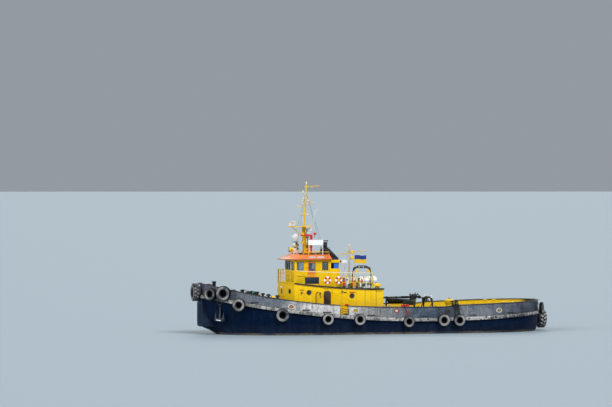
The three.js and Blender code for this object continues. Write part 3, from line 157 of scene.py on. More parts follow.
def new_group(name, kind, sockets_in, sockets_out):
    """An empty node group: the tree, what it is given and what it makes."""
    tree = bpy.data.node_groups.new(name, kind)
    for way, sockets in (("INPUT", sockets_in), ("OUTPUT", sockets_out)):
        for label, socket in sockets:
            tree.interface.new_socket(label, in_out=way, socket_type="NodeSocket" + socket)
    return tree, tree.nodes.new("NodeGroupInput").outputs, tree.nodes.new("NodeGroupOutput").inputs


weather, given, made = new_group(
    "weathered_paint", "ShaderNodeTree", [(label, "Color") for label in ("Paint", "Faded", "Rust")] +
    [(label, "Float") for label in ("Grain", "Fading", "Streaks", "Chips", "Spray low", "Spray high", "Spray",
    "Mottle")], [("Colour", "Color"), ("Roughness", "Float"), ("Relief", "Float")])


def worked(operation, *values):
    """Values of the weathering group, combined one after the other."""
    result = values[0]
    for value in values[1:]:
        result = combine(weather, operation, result, value)
    return result


def noise(tree, spot, scale, detail, **roughness):
    """A noise field at a place: its value."""
    sizes = {"Vector": spot, "Scale": scale, "Detail": detail, **roughness}
    return add_node(tree, "ShaderNodeTexNoise", sizes).outputs[0]


ship_spot = add_node(weather, "ShaderNodeTexCoord").outputs["Object"]
drips = add_node(weather, "ShaderNodeMapping", {"Vector": ship_spot, "Scale": (1, 1, 0.09)}).outputs[0]
broad = noise(weather, ship_spot, worked("MULTIPLY", given["Grain"], 0.45), 5, Roughness=0.62)
fine = noise(weather, ship_spot, worked("MULTIPLY", given["Grain"], 5.5), 7, Roughness=0.65)
running = noise(weather, drips, worked("MULTIPLY", given["Grain"], 2.6), 5, Roughness=0.7)
fade_share = worked("MULTIPLY", spread(weather, broad, 0.42, 0.62), given["Fading"])
streak_share = worked("MULTIPLY", spread(weather, running, 0.52, 0.74), given["Streaks"])
chip_field = worked("ADD", worked("MULTIPLY", fine, 0.65), worked("MULTIPLY", broad, 0.35))
chip_share = worked("MULTIPLY", spread(weather, chip_field, 0.575, 0.62), given["Chips"])
height = add_node(weather, "ShaderNodeSeparateXYZ", {0: ship_spot}).outputs["Z"]
spray_rise = spread(weather, height, given["Spray low"], given["Spray high"], 1.0, 0.0)
spray_share = worked("MULTIPLY", spray_rise, given["Spray"], spread(weather, running, 0.3, 0.6, 0.35, 1.0))
faded = blend_colours(weather, fade_share, given["Paint"], given["Faded"])
streaked = blend_colours(weather, streak_share, faded, given["Rust"])
sprayed = blend_colours(weather, spray_share, streaked, (0.2, 0.17, 0.13))
chipped = blend_colours(weather, chip_share, sprayed, given["Rust"])
mottling = worked("MULTIPLY", worked("SUBTRACT", fine, 0.5), given["Mottle"])
shade = add_node(
    weather, "ShaderNodeHueSaturation", {"Value": worked("MAXIMUM", worked("ADD", mottling, 0.98), 0.08),
    "Color": chipped})
dull = worked("ADD", worked("MULTIPLY", chip_share, 0.35), worked("MULTIPLY", fade_share, 0.15))
weather.links.new(shade.outputs[0], made["Colour"])
weather.links.new(worked("ADD", spread(weather, fine, 0.3, 0.7, 0.3, 0.46), dull), made["Roughness"])
weather.links.new(worked("SUBTRACT", worked("MULTIPLY", fine, 0.4), chip_share), made["Relief"])


# Plates are welded edge to edge. This group marks their seams, by a plate's length and height and where the first
# one starts.
plate_seams, given, made = new_group(
    "plate_seams", "ShaderNodeTree", [("Length", "Float"), ("Height", "Float"), ("Start", "Vector")],
    [("Line", "Float")])
spot = add_node(plate_seams, "ShaderNodeTexCoord").outputs["Object"]
shifted = add_node(plate_seams, "ShaderNodeVectorMath", {0: spot, 1: given["Start"]}, operation="SUBTRACT")
axes = add_node(plate_seams, "ShaderNodeSeparateXYZ", {0: shifted.outputs[0]})
girth = combine(plate_seams, "ADD", axes.outputs["X"], axes.outputs["Y"])
flat = add_node(plate_seams, "ShaderNodeCombineXYZ", {"X": girth, "Y": axes.outputs["Z"]})
plates = add_node(
    plate_seams, "ShaderNodeTexBrick", {"Vector": flat.outputs[0], "Scale": 1.0, "Mortar Size": 0.011,
    "Mortar Smooth": 0.4, "Brick Width": given["Length"], "Row Height": given["Height"]}, offset=0.0)
plate_seams.links.new(plates.outputs["Fac"], made["Line"])


def paint(
        name, colour, faded_to, rust=RUST, grain=1.0, fading=0.5, streaks=0.25, chips=0.25, spray=0.0,
        spray_band=(0.0, 1.0), bump=0.006, shine=0.3, mottle=0.6, seams=None):
    """Weathered paint of one colour. The colour may also be a function that makes it in the material,
    and seams are (plate length, plate height, start, darkness of the line)."""
    material, tree, shader = new_material(name)
    shader.inputs["Metallic"].default_value = 0.0
    shader.inputs["Specular IOR Level"].default_value = shine

    def laid(group, **sizes):
        layer = tree.nodes.new("ShaderNodeGroup")
        layer.node_tree = group
        for label, value in sizes.items():
            layer.inputs[label.replace("_", " ")].default_value = value
        return layer

    worn = laid(
        weather, Faded=(*faded_to, 1), Rust=(*rust, 1), Grain=grain, Fading=fading, Streaks=streaks, Chips=chips,
        Spray_low=spray_band[0], Spray_high=spray_band[1], Spray=spray, Mottle=mottle)
    if callable(colour):
        tree.links.new(colour(tree), worn.inputs["Paint"])
    else:
        worn.inputs["Paint"].default_value = (*colour, 1)
    shown, raised = worn.outputs["Colour"], worn.outputs["Relief"]
    if seams:
        length, height_of_row, start, darkness = seams
        line = laid(plate_seams, Length=length, Height=height_of_row, Start=start).outputs["Line"]
        shown = blend_colours(tree, combine(tree, "MULTIPLY", line, darkness), shown, (0.03, 0.02, 0.012))
        raised = combine(tree, "ADD", raised, line)
    lay_on(tree, shader, shown, worn.outputs["Roughness"], raised, bump)
    return material


def bands(axis, stops, wander=0.0):
    """Colours that change along one axis of the ship, with an uneven border: [(place, colour), ...]."""
    low, high = stops[0][0], stops[-1][0]

    def colour(tree):
        spot = add_node(tree, "ShaderNodeTexCoord").outputs["Object"]
        along_axis = add_node(tree, "ShaderNodeSeparateXYZ", {0: spot}).outputs[axis]
        shifted = combine(tree, "ADD", along_axis, spread(tree, noise(tree, spot, 1.7, 5), 0.3, 0.7, -wander, wander))
        share = spread(tree, shifted, low, high)
        ramp = add_node(tree, "ShaderNodeValToRGB", {0: share})
        while len(ramp.color_ramp.elements) < len(stops):
            ramp.color_ramp.elements.new(0.5)
        for element, (spot_at, _) in zip(ramp.color_ramp.elements, stops):
            element.position = (spot_at - low) / (high - low)
        for element, (_, shade_there) in zip(ramp.color_ramp.elements, stops):
            element.color = (*shade_there, 1)
        return ramp.outputs["Color"]

    return colour


# Plating
# The welded hull, near-black navy over a grey boot-top strip and dull red antifouling, with green decks.
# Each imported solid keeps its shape: its triangles are merged so that curved plates shade smoothly.
body_of = {n: body for body, held in frame["record"]["behaviour"]["bodies"].items() for n in held}


def coat(mesh, finishes=(), smooth=32):
    """Gives a mesh its finishes, and smooth shading up to an angle in degrees."""
    for finish in finishes:
        mesh.materials.append(finish)
    mesh.shade_smooth()
    mesh.set_sharp_from_angle(angle=radians(smooth))
    return mesh


def hand_over(piece, body, stands_for=()):
    """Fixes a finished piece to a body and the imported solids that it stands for."""
    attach(piece, body)
    if stands_for:
        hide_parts(*stands_for)
    return piece


def settle(piece, smooth=32):
    """Applies a piece's modifiers, so that its mesh is final."""
    bpy.context.view_layer.update()
    final = bpy.data.meshes.new_from_object(piece.evaluated_get(bpy.context.evaluated_depsgraph_get()))
    piece.modifiers.clear()
    piece.data = coat(final, smooth=smooth)


def skin(node, *finishes, pick=None, round_off=0.0):
    """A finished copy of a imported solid. pick(face) chooses among the finishes."""
    work = bmesh.new()
    work.from_mesh(nodes[node].data)
    bmesh.ops.remove_doubles(work, verts=work.verts, dist=2e-5)
    bmesh.ops.dissolve_limit(work, angle_limit=radians(0.6), verts=work.verts, edges=work.edges)
    for face in work.faces:
        face.material_index = pick(face) if pick else 0
    mesh = bpy.data.meshes.new(node + "_finished")
    work.to_mesh(mesh)
    work.free()
    piece = place(node + "_finished", coat(mesh, finishes))
    if round_off:
        rounding = piece.modifiers.new("rounded_edges", "BEVEL")
        rounding.width = round_off
        rounding.segments = 2
        rounding.angle_limit = radians(40)
        settle(piece)
    hand_over(piece, body_of[node], (node,))


YELLOW = (0.82, 0.5, 0.003)
YELLOW_FADED = (0.86, 0.57, 0.016)
NAVY = (0.0006, 0.0065, 0.024)
ANTIFOULING = (0.14, 0.035, 0.025)
BOOT_TOP = (0.105, 0.09, 0.07)
BOOT_TOP_HIGH = 0.13
hull_paint = paint(
    "navy_hull_paint", bands("Z", [(-0.06, ANTIFOULING), (0.0, BOOT_TOP), (BOOT_TOP_HIGH, BOOT_TOP),
    (BOOT_TOP_HIGH + 0.05, NAVY)], 0.02), (0.0025, 0.0125, 0.036), rust=(0.03, 0.04, 0.06), fading=0.8, streaks=0.22,
    chips=0.05, spray=0.05, spray_band=(0.1, 1.0), bump=0.02, shine=0.05, mottle=1.4,
    seams=(3.1, 1.25, (0.4, 0, 0.28), 0.25))
deck_green = paint(
    "deck_green_paint", (0.03, 0.075, 0.05), (0.06, 0.1, 0.075), grain=1.3, fading=0.8, streaks=0.0, chips=0.5)
gear_black = paint("black_gear_paint", (0.007, 0.007, 0.009), (0.022, 0.022, 0.024), grain=3, fading=0.8, chips=0.4)
locker_yellow = paint("yellow_locker_paint", YELLOW, YELLOW_FADED, grain=3, fading=0.6, chips=0.2)


def deck_level(x):
    """The main deck's height: lowest abaft midships, rising to the bow and, less, to the stern."""
    return 1.3 + (0.00584 if x > -4 else 0.0042) * (x + 4) ** 2


def hull_part(face):
    """0 on the shell, 1 on the decks and what stands on them, 2 and 3 on the gear at the foredeck's sides."""
    spot = face.calc_center_median()
    if spot.z > deck_level(spot.x) + 0.035 and abs(spot.y) < 3:
        if abs(spot.y) > 2.25 and 7.9 < spot.x < 9.3:
            return 3 if 8.5 < spot.x < 8.82 and abs(spot.y) > 2.3 else 2
        return 1
    return int(face.normal.z > 0.8 and spot.z > 0.8)


skin("hull", hull_paint, deck_green, gear_black, locker_yellow, pick=hull_part)

# Rubbing strake
# A welded steel box rail all round the deck edge, bare and scuffed: pale patches with black flecks and runs. The pale
# patches are partly worn steel and partly painted highlight, the black flecks and runs partly wear and partly painted
# shadow of its welds and brackets.
# Its near-black chips and runs stand partly for wear and partly for painted shadow at welds and brackets; its pale
# patches are partly painted highlight.
strake_steel = paint(
    "strake_wear_highlight_and_shade", bands("X", [(-14.5, (0.03, 0.035, 0.045)), (-9, (0.05, 0.055, 0.065)),
    (-6, (0.13, 0.13, 0.135)), (12.4, (0.18, 0.175, 0.165)), (13.2, (0.02, 0.022, 0.026))], 0.5), (0.66, 0.64, 0.6),
    rust=(0.01, 0.01, 0.012), fading=0.8, streaks=1.0, chips=1.0, bump=0.03, mottle=5.0)
skin("rubbing_strake", strake_steel, round_off=0.035)

# Bulwark
# The plate wall round the decks. Outside it is grey at the bow, whitish beside the deckhouse and darker aft;
# inside it is pale forward and yellow on the after deck. A black rail caps it.
bulwark_outside = paint(
    "weathered_grey_bulwark", bands("X", [(-15, (0.02, 0.028, 0.045)), (-11, (0.035, 0.048, 0.075)),
    (-9.2, (0.075, 0.1, 0.14)), (-8.6, (0.15, 0.165, 0.185)), (-7.8, (0.085, 0.105, 0.14)),
    (-7.0, (0.19, 0.2, 0.215)), (-6.0, (0.028, 0.042, 0.07)), (-3.0, (0.045, 0.07, 0.11)),
    (-0.6, (0.16, 0.17, 0.175)), (1.2, (0.27, 0.27, 0.26)), (2.2, (0.52, 0.52, 0.5)), (4.0, (0.66, 0.65, 0.63)),
    (6.6, (0.62, 0.61, 0.59)), (7.6, (0.3, 0.31, 0.32)), (8.6, (0.13, 0.15, 0.18)), (11.4, (0.1, 0.115, 0.145)),
    (14.5, (0.04, 0.05, 0.075))], 0.5), (0.2, 0.21, 0.225), rust=(0.025, 0.03, 0.045), grain=1.05, streaks=0.75,
    chips=0.45, bump=0.012, mottle=2.5, seams=(2.35, 3.0, (0.55, 0, 0), 0.5))
bulwark_inside_pale = paint("pale_grey_inside", (0.5, 0.5, 0.48), (0.62, 0.61, 0.58), grain=1.5, streaks=0.35)
# The inside goes from near black at the very stern to yellow a little forward of it.
bulwark_inside_yellow = paint(
    "yellow_inside", bands("X", [(-14.2, (0.02, 0.018, 0.012)), (-13.8, YELLOW)], 0.1), YELLOW_FADED, grain=1.5,
    streaks=0.3, chips=0.3)
rail_black = paint("black_rail_paint", (0.018, 0.018, 0.02), (0.06, 0.058, 0.055), grain=2, fading=0.7, chips=0.3)


def faces_inboard(face):
    """1 on the faces that look inboard, 0 on the others."""
    spot = face.calc_center_median()
    fore_aft = spot.x - 5 if spot.x > 5 else min(0, spot.x + 8)
    return int(face.normal.dot(Vector((fore_aft, spot.y, 0))) < 0)


skin("bulwark_fore", bulwark_outside, bulwark_inside_pale, pick=faces_inboard)
skin("bulwark_aft", bulwark_outside, bulwark_inside_yellow, pick=faces_inboard)
skin("bulwark_cap_fore", rail_black, round_off=0.012)
skin("bulwark_cap_aft", rail_black, round_off=0.012)

surfaces = {}


def meet(node, start, way):
    """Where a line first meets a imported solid: the point and the surface's outward direction."""
    if node not in surfaces:
        mesh = nodes[node].data
        surfaces[node] = BVHTree.FromPolygons(
            [v.co for v in mesh.vertices], [list(p.vertices) for p in mesh.polygons])
    point, outward, _, _ = surfaces[node].ray_cast(Vector(start), Vector(way).normalized())
    return point, outward


def top_of(node, x, y):
    """The height of a solid's top at one place."""
    return meet(node, (x, y, 20), (0, 0, -1))[0].z


class Fitting:
    """Gathers the plates, bars and turned parts of one fitting in a mesh, then fixes it to a body."""

    def __init__(self, name, *finishes):
        self.name = name
        self.finishes = finishes
        self.work = bmesh.new()

    def _finish(self, verts, finish):
        for face in {face for vert in verts for face in vert.link_faces}:
            face.material_index = finish
        return self

    def box(self, low, high, finish=0, turn=Matrix()):
        """A box between two corners, then turned about the frame's start."""
        low, high = [Vector(corner) for corner in zip(*(sorted(pair) for pair in zip(low, high)))]
        verts = bmesh.ops.create_cube(self.work, size=1)["verts"]
        place_in = Matrix.Translation((low + high) / 2) @ Matrix.Diagonal((*(high - low), 1))
        bmesh.ops.transform(self.work, matrix=turn @ place_in, verts=verts)
        return self._finish(verts, finish)

    def block(self, x, y, half_x, half_y, low, high, finish=0):
        """An upright box, centred at x and y."""
        return self.box((x - half_x, y - half_y, low), (x + half_x, y + half_y, high), finish)

    def bar(self, start, end, radius, finish=0, sides=12, tip=None):
        """A round bar, which tapers if the radius at its tip is given."""
        start, end = Vector(start), Vector(end)
        way = end - start
        sizes = {"radius1": radius, "radius2": radius if tip is None else tip, "depth": way.length}
        verts = bmesh.ops.create_cone(self.work, cap_ends=True, segments=sides, **sizes)["verts"]
        turn = way.to_track_quat("Z", "Y").to_matrix().to_4x4()
        bmesh.ops.transform(self.work, matrix=Matrix.Translation((start + end) / 2) @ turn, verts=verts)
        return self._finish(verts, finish)

    def _ring(self, sides, spot_at):
        """New vertices round a ring: spot_at(cosine, sine) places them."""
        turns = [2 * pi * k / sides for k in range(sides)]
        return [self.work.verts.new(spot_at(cos(t), sin(t))) for t in turns]

    def _walls(self, rings, closed, finish):
        """The faces between rings that follow each other."""
        sides = len(rings[0])
        for first, second in list(zip(rings, rings[1:])) + ([(rings[-1], rings[0])] if closed else []):
            for k in range(sides):
                n = (k + 1) % sides
                loop = [first[k], first[n], second[n], second[k]]
                loop = [v for i, v in enumerate(loop) if v not in loop[:i]]
                if len(loop) > 2:
                    self.work.faces.new(loop)
        return self._finish({v for ring in rings for v in ring}, finish)

    def tube(self, points, radius, sides=8, finish=0, closed=False):
        """A round rod along a line of points."""
        points = [Vector(p) for p in points]
        count = len(points)
        rings = []
        up = None
        for i, point in enumerate(points):
            after = points[(i + 1) % count] if closed or i + 1 < count else point
            before = points[i - 1] if closed or i else point
            way = (after - before).normalized()
            up = way.orthogonal() if up is None else up
            up = (up - way * up.dot(way)).normalized()
            across = way.cross(up)
            rings.append(self._ring(sides, lambda c, s: point + radius * (up * c + across * s)))
        self._walls(rings, closed, finish)
        if not closed:
            self.work.faces.new(rings[0][::-1])
            self.work.faces.new(rings[-1])
        return self._finish({v for ring in rings for v in ring}, finish)

    def grip(self, start, end, off, radius, finish=0):
        """A rail or a rung between two points on a wall, which stands off it."""
        raised = [[a + b for a, b in zip(spot, off)] for spot in (start, end)]
        return self.tube([start, *raised, end], radius, 6, finish)

    def rung(self, x, x_out, half, z, radius, finish=0):
        """A rung or handrail across the ship, bent off its wall at x."""
        return self.grip((x, half, z), (x, -half, z), (x_out - x, 0, 0), radius, finish)

    def turned(self, profile, place_in=Matrix(), sides=24, finish=0):
        """A turned part: [(radius, height), ...], which starts and ends on the axis or closes on itself."""
        closed = profile[0] == profile[-1]
        rings = []
        for radius, level in profile[:-1] if closed else profile:
            if radius < 1e-6:
                rings.append([self.work.verts.new(place_in @ Vector((0, 0, level)))] * sides)
            else:
                rings.append(self._ring(sides, lambda c, s: place_in @ Vector((radius * c, radius * s, level))))
        return self._walls(rings, closed, finish)

    def disc(self, radius, thick, *how, **more):
        """A flat disc; how and more are as for turned."""
        return self.turned([(0, 0), (radius, 0), (radius, thick), (0, thick)], *how, **more)

    def collar(self, bore, radius, thick, *how, **more):
        """A flat ring round a bore."""
        return self.turned([(bore, 0), (radius, 0), (radius, thick), (bore, thick), (bore, 0)], *how, **more)

    def band(self, bore, radius, foot, crest, *how, **more):
        """A strap round an axis: half its width is foot at the bore, and crest outside."""
        outline = [(bore, -foot), (radius, -crest), (radius, crest), (bore, foot), (bore, -foot)]
        return self.turned(outline, *how, **more)

    def hoop(self, radius, thick, *how, **more):
        """A ring of round bar."""
        return self.turned(ring_profile(radius, thick), *how, **more)

    def plate(self, outline, thick, place_in=Matrix(), finish=0):
        """A flat plate: its outline in X and Y, and its thickness up from there, then put in place."""
        low = [self.work.verts.new(place_in @ Vector((x, y, 0))) for x, y in outline]
        high = [self.work.verts.new(place_in @ Vector((x, y, thick))) for x, y in outline]
        self.work.faces.new(low[::-1])
        self.work.faces.new(high)
        for k in range(len(outline)):
            n = (k + 1) % len(outline)
            self.work.faces.new((low[k], low[n], high[n], high[k]))
        return self._finish(low + high, finish)

    def shape(self, smooth=35):
        """The mesh that was gathered, with its finishes."""
        bmesh.ops.recalc_face_normals(self.work, faces=self.work.faces)
        mesh = bpy.data.meshes.new(self.name)
        self.work.to_mesh(mesh)
        self.work.free()
        return coat(mesh, self.finishes, smooth)

    def fix(self, body="ship", stands_for=()):
        """Puts the fitting in the scene, on its body."""
        return hand_over(place(self.name, self.shape()), body, stands_for)


setting_out, given, made = new_group(
    "set_out_at_marks", "GeometryNodeTree", [("Start", "Geometry"), ("Item", "Object"), ("Finish", "Material")],
    [("Piece", "Geometry")])
marks = add_node(setting_out, "GeometryNodeMeshToPoints", {"Mesh": given["Start"]})
turn_mark = add_node(setting_out, "GeometryNodeInputNamedAttribute", {"Name": "turn"}, data_type="FLOAT_VECTOR")
size_mark = add_node(setting_out, "GeometryNodeInputNamedAttribute", {"Name": "size"}, data_type="FLOAT_VECTOR")
turning = add_node(setting_out, "FunctionNodeEulerToRotation", {0: turn_mark.outputs["Attribute"]})
item = add_node(setting_out, "GeometryNodeObjectInfo", {"Object": given["Item"]})
copies = add_node(
    setting_out, "GeometryNodeInstanceOnPoints", {"Points": marks.outputs[0], "Instance": item.outputs["Geometry"],
    "Rotation": turning.outputs[0], "Scale": size_mark.outputs["Attribute"]})
solid = add_node(setting_out, "GeometryNodeRealizeInstances", {0: copies.outputs[0]})
coated = add_node(setting_out, "GeometryNodeSetMaterial", {"Geometry": solid.outputs[0], "Material": given["Finish"]})
setting_out.links.new(coated.outputs[0], made["Piece"])
AHEAD, ASTERN = (1, 0, 0), (-1, 0, 0)


def facing(way, up=(0, 0, 1)):
    """The turn that points an item's Z outwards along way, and keeps its Y upright."""
    out = Vector(way).normalized()
    side = Vector(up).cross(out).normalized()
    return Matrix((side, out.cross(side), out)).transposed()


def at(point, out=None):
    """The frame of a part at a point, with its Z upwards, or outwards from a surface."""
    stand = Matrix.Translation(point)
    return stand if out is None else stand @ facing(out).to_4x4()


def turned_by(angle, axis):
    """A turn by degrees about an axis of the frame."""
    return Matrix.Rotation(radians(angle), 4, axis)


def set_out(name, item_mesh, spots, finish, smooth=35):
    """Copies of one item at marked spots: [(place, turn matrix, size), ...]. The Geometry Nodes tree makes them,
    and a plain mesh is left."""
    item_piece = place(name + "_item", item_mesh)
    start = bpy.data.meshes.new(name + "_marks")
    start.from_pydata([tuple(spot) for spot, _, _ in spots], [], [])
    turns = start.attributes.new("turn", "FLOAT_VECTOR", "POINT")
    sizes = start.attributes.new("size", "FLOAT_VECTOR", "POINT")
    for i, (_, turn, size) in enumerate(spots):
        turns.data[i].vector = turn.to_euler()
        sizes.data[i].vector = (size, size, size)
    piece = place(name, start)
    modifier = piece.modifiers.new("setting_out", "NODES")
    modifier.node_group = setting_out
    sockets = {s.name: s.identifier for s in setting_out.interface.items_tree if s.in_out == "INPUT"}
    modifier[sockets["Item"]] = item_piece
    modifier[sockets["Finish"]] = finish
    settle(piece, smooth)
    piece.data.name = name
    hand_over(piece, "ship")
    bpy.data.objects.remove(item_piece)


def circle(count, radius, start=0):
    """Points round a circle, the first one start steps on."""
    turns = [2 * pi * (k + start) / count for k in range(count)]
    return [(radius * cos(t), radius * sin(t)) for t in turns]


def ring_profile(radius, thick, steps=8):
    """The closed section of a ring of round bar."""
    loop = [(radius + x, y) for x, y in circle(steps, thick)]
    return loop + loop[:1]


def on_side(node, x, z, side):
    """The outside of a solid at x and z, on one side of the ship (+1 is port)."""
    point, out = meet(node, (x, 9 * side, z), (0, -side, 0))
    if point is None or point.y * side < 0:
        return None, None
    return point, Vector((out.x, out.y, 0)).normalized()


def on_bulwark(x, z, side):
    """The bulwark's outside at x and z, and the way it faces."""
    return on_side("bulwark_fore" if x > 3.5 else "bulwark_aft", x, z, side)


# Fairleads
# Cast oval rings welded round the mooring holes in the bulwark, on both sides.
# Their places are read off the bulwark's plate, and some have a plate set behind the hole; a black one is painted
# shade for the dark seen through the hole.
OVAL = 1.35
rust_red = paint("rusty_red_casting", (0.42, 0.035, 0.02), (0.36, 0.09, 0.05), grain=4, chips=0.4)
pale_casting = paint("pale_casting", (0.62, 0.61, 0.58), (0.45, 0.42, 0.38), grain=4, chips=0.35)
rust_orange = paint("orange_rust", (0.46, 0.15, 0.03), (0.3, 0.08, 0.03), grain=4, chips=0.4)
FAIRLEADS = [
    (7.53, 2.29, 0.19, pale_casting, rust_orange), (2.23, 1.95, 0.19, pale_casting, None),
    (-1.21, 1.9, 0.17, rust_red, pale_casting), (-2.16, 1.73, 0.15, rust_red, rust_orange),
    (-5.53, 1.76, 0.19, rail_black, rail_black), (-9.97, 1.83, 0.19, pale_casting, None),
    (-12.36, 1.93, 0.11, rail_black, rail_black)]
part = Fitting("fairleads", pale_casting, rust_red, rail_black, rust_orange)
for side in (1, -1):
    for x, z, half, lip, blank in FAIRLEADS:
        wall, out = on_bulwark(x, z + half * 0.8, side)
        frame_at = at(Vector((x, wall.y, z)) + out * 0.01, out)
        frame_at = frame_at @ Matrix.Diagonal((half * OVAL, half, half, 1))
        ring = part.finishes.index(lip)
        part.hoop(0.86, 0.17, frame_at, 28, ring)
        part.hoop(0.7, 0.09, frame_at, 28, 2)
        # A blank in black paint is a plate of painted shade, standing for the dark seen through the hole.
        if blank:
            plug = part.finishes.index(blank)
            part.turned([(0, -0.3), (0.8, -0.3), (0.8, -0.16), (0.3, -0.1), (0, -0.1)], frame_at, 24, plug)
part.fix()

# Tyre fenders
# Worn lorry tyres hung on chains over the strake, bigger ones on the bow and loader tyres on the stem and stern.
# Each is an open carcass with beads, dusty sidewalls and two staggered rows of tread blocks; its hollow and a disc
# set across it are painted near black as painted shade.
tyre_rubber = paint(
    "worn_tyre_rubber", (0.0045, 0.005, 0.007), (0.012, 0.013, 0.017), rust=(0.04, 0.04, 0.045), grain=3, fading=0.9,
    streaks=0.3, chips=0.4, bump=0.01, shine=0.15)
sidewall_rubber = paint(
    "scuffed_tyre_sidewall", (0.05, 0.052, 0.058), (0.36, 0.35, 0.34), rust=(0.02, 0.02, 0.022), grain=1.6,
    fading=0.9, streaks=0.4, chips=0.5, bump=0.01, shine=0.1, mottle=2.6)
# Near black for the inside of the tyre's hollow and the disc across it: painted shade, where the hollow lies in
# shadow.
hollow_painted_shade = paint(
    "tyre_hollow_painted_shade", (0.0012, 0.0013, 0.002), (0.002, 0.002, 0.003), grain=4, streaks=0.0, chips=0.0, shine=0.02)
LORRY_SHARE = 0.29
BEAD = 0.44
SIDE_TYRES = [
    (8.28, 1.64, 1.08), (4.61, 1.29, 0.96), (1.95, 1.23, 0.95), (-2.17, 1.01, 0.92), (-5.13, 1.1, 1.0),
    (-6.45, 1.08, 0.97)]
BOW_TYRES = [(11.6, 2.44, 1.04), (12.68, 3.36, 1.22), (13.56, 3.29, 1.05)]
STEM_TYRE = (3.39, 1.44, 0.36)
QUARTER_TYRE = (-14.33, 1.9, 0.95)
STERN_TYRE = (0.95, 1.54, 0.42)


def carcass(width_share, tread_blocks, slant, block_share, block_high):
    """A tyre of 1 m across, lying flat round Z: [carcass, sidewalls, painted shade in the hollow], and its tread
    blocks.
    """
    outer, half = 0.5, width_share / 2
    tread = outer - block_high
    wall = 0.035
    body = Fitting("tyre", tyre_rubber, sidewall_rubber, hollow_painted_shade)
    outside = [
        (outer * BEAD, half * 0.5), (outer * 0.57, half * 0.86), (outer * 0.68, half * 0.97),
        (outer * 0.8, half * 0.99), (outer * 0.91, half * 0.86), (tread, half * 0.62)]
    inside = [
        (tread - wall, half * 0.5), (outer * 0.8, half * 0.99 - wall), (outer * 0.64, half * 0.97 - wall),
        (outer * BEAD + 0.01, half * 0.36)]
    upper = outside + [(tread, 0.0)]
    lower = [(r, -h) for r, h in outside[::-1]]
    hollow = [(r, -h) for r, h in inside[::-1]] + [(tread - wall, 0.0)] + inside
    profile = upper + lower + hollow + [outside[0]]
    body.turned(profile, sides=36)
    for face in body.work.faces:
        spot = face.calc_center_median()
        reach = hypot(spot.x, spot.y)
        # The inward-facing faces of the hollow take the painted shade.
        inner = reach < 0.86 * outer and abs(face.normal.z) < 0.5 and face.normal.xy.dot(spot.xy) < 0
        face.material_index = 2 if inner else int(0.56 * outer < reach < 0.9 * outer and abs(spot.z) > half * 0.6)
    # A dark disc across the hollow, behind the tread: painted shade, so that no light shows through the tyre.
    body.turned(
        [(0, -half * 0.75), (outer * 0.47, -half * 0.75), (outer * 0.47, -half * 0.6), (0, -half * 0.6)], finish=2)
    for row in (-1, 1):
        for k in range(tread_blocks):
            angle = 2 * pi * (k + 0.25 * row) / tread_blocks
            width = 2 * pi * outer / tread_blocks * block_share
            block_at = at((outer - block_high, 0, row * half * 0.4))
            turn = Matrix.Rotation(angle, 4, "Z") @ block_at @ turned_by(slant * row, "X")
            body.box((-0.02, -width / 2, -half * 0.36), (block_high, width / 2, half * 0.36), int(slant > 20), turn)
    return body.shape(30)


def hang_tyres(name, rows, item_mesh, node=None):
    """Copies of a tyre joined as one piece: [(centre, outward direction, diameter), ...]."""
    work = bmesh.new()
    for centre, out, size in rows:
        copy = item_mesh.copy()
        copy.transform(at(centre, out) @ Matrix.Scale(size, 4))
        work.from_mesh(copy)
        bpy.data.meshes.remove(copy)
    mesh = bpy.data.meshes.new(name)
    work.to_mesh(mesh)
    work.free()
    piece = place(name, coat(mesh, (tyre_rubber, sidewall_rubber, hollow_painted_shade), 30))
    hand_over(piece, "ship", (node,) if node else ())


def on_strake(x, side):
    """The outer face of the rubbing strake at x, on one side of the ship."""
    for step in range(60):
        point, out = meet("rubbing_strake", (x, 9 * side, 0.95 + step * 0.04), (0, -side, 0))
        if point is not None and abs(point.y) > 0.2:
            break
    return point, Vector((out.x, out.y, 0)).normalized()


def tyre_row(x, z, size, side):
    """A tyre that lies on the strake's outer face, upright and square to it."""
    point, out = on_strake(x, side)
    return Vector((x, point.y, z)) + out * (size * LORRY_SHARE / 2 + 0.005), out, size


lorry_tyre = carcass(LORRY_SHARE, 30, 12, 0.62, 0.018)
side_rows = {side: [tyre_row(*row, side) for row in SIDE_TYRES] for side in (1, -1)}
for side, word in SIDES:
    hang_tyres(f"lorry_tyres_{word}", side_rows[side], lorry_tyre, f"tyre_fenders_{word}")
stem_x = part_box("tyre_fenders_bow")[1].x - STEM_TYRE[1] * STEM_TYRE[2] / 2
stern_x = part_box("tyre_fenders_stern")[0].x + STERN_TYRE[1] * STERN_TYRE[2] / 2


def hang_end_tyre(name, x, tyre, way):
    """One loader tyre, flat against the stem or the stern."""
    level, size, width_share = tyre
    hang_tyres(name, [(Vector((x, 0, level)), Vector(way), size)], carcass(width_share, 15, 42, 0.5, 0.035))


bow_rows = [tyre_row(*row, side) for row in BOW_TYRES for side in (1, -1)]
hang_tyres("bow_tyres", bow_rows, lorry_tyre, "tyre_fenders_bow")
hang_end_tyre("stem_tyre", stem_x, STEM_TYRE, AHEAD)
hang_tyres("quarter_tyres", [tyre_row(*QUARTER_TYRE, side) for side in (1, -1)], lorry_tyre, "tyre_fenders_stern")
hang_end_tyre("stern_tyre", stern_x, STERN_TYRE, ASTERN)

# Fender chains
# Short-link chains from eyes on the cap rail or the strake to the upper half of each side tyre and of the stem and
# stern tyres.
# The links stand turn about, a quarter turn apart, and are set out along straight runs.
LINK = 0.13
dark_chain = paint(
    "dark_chain_iron", (0.006, 0.006, 0.007), (0.022, 0.02, 0.02), rust=(0.06, 0.04, 0.03), grain=5, fading=0.8,
    chips=0.3)


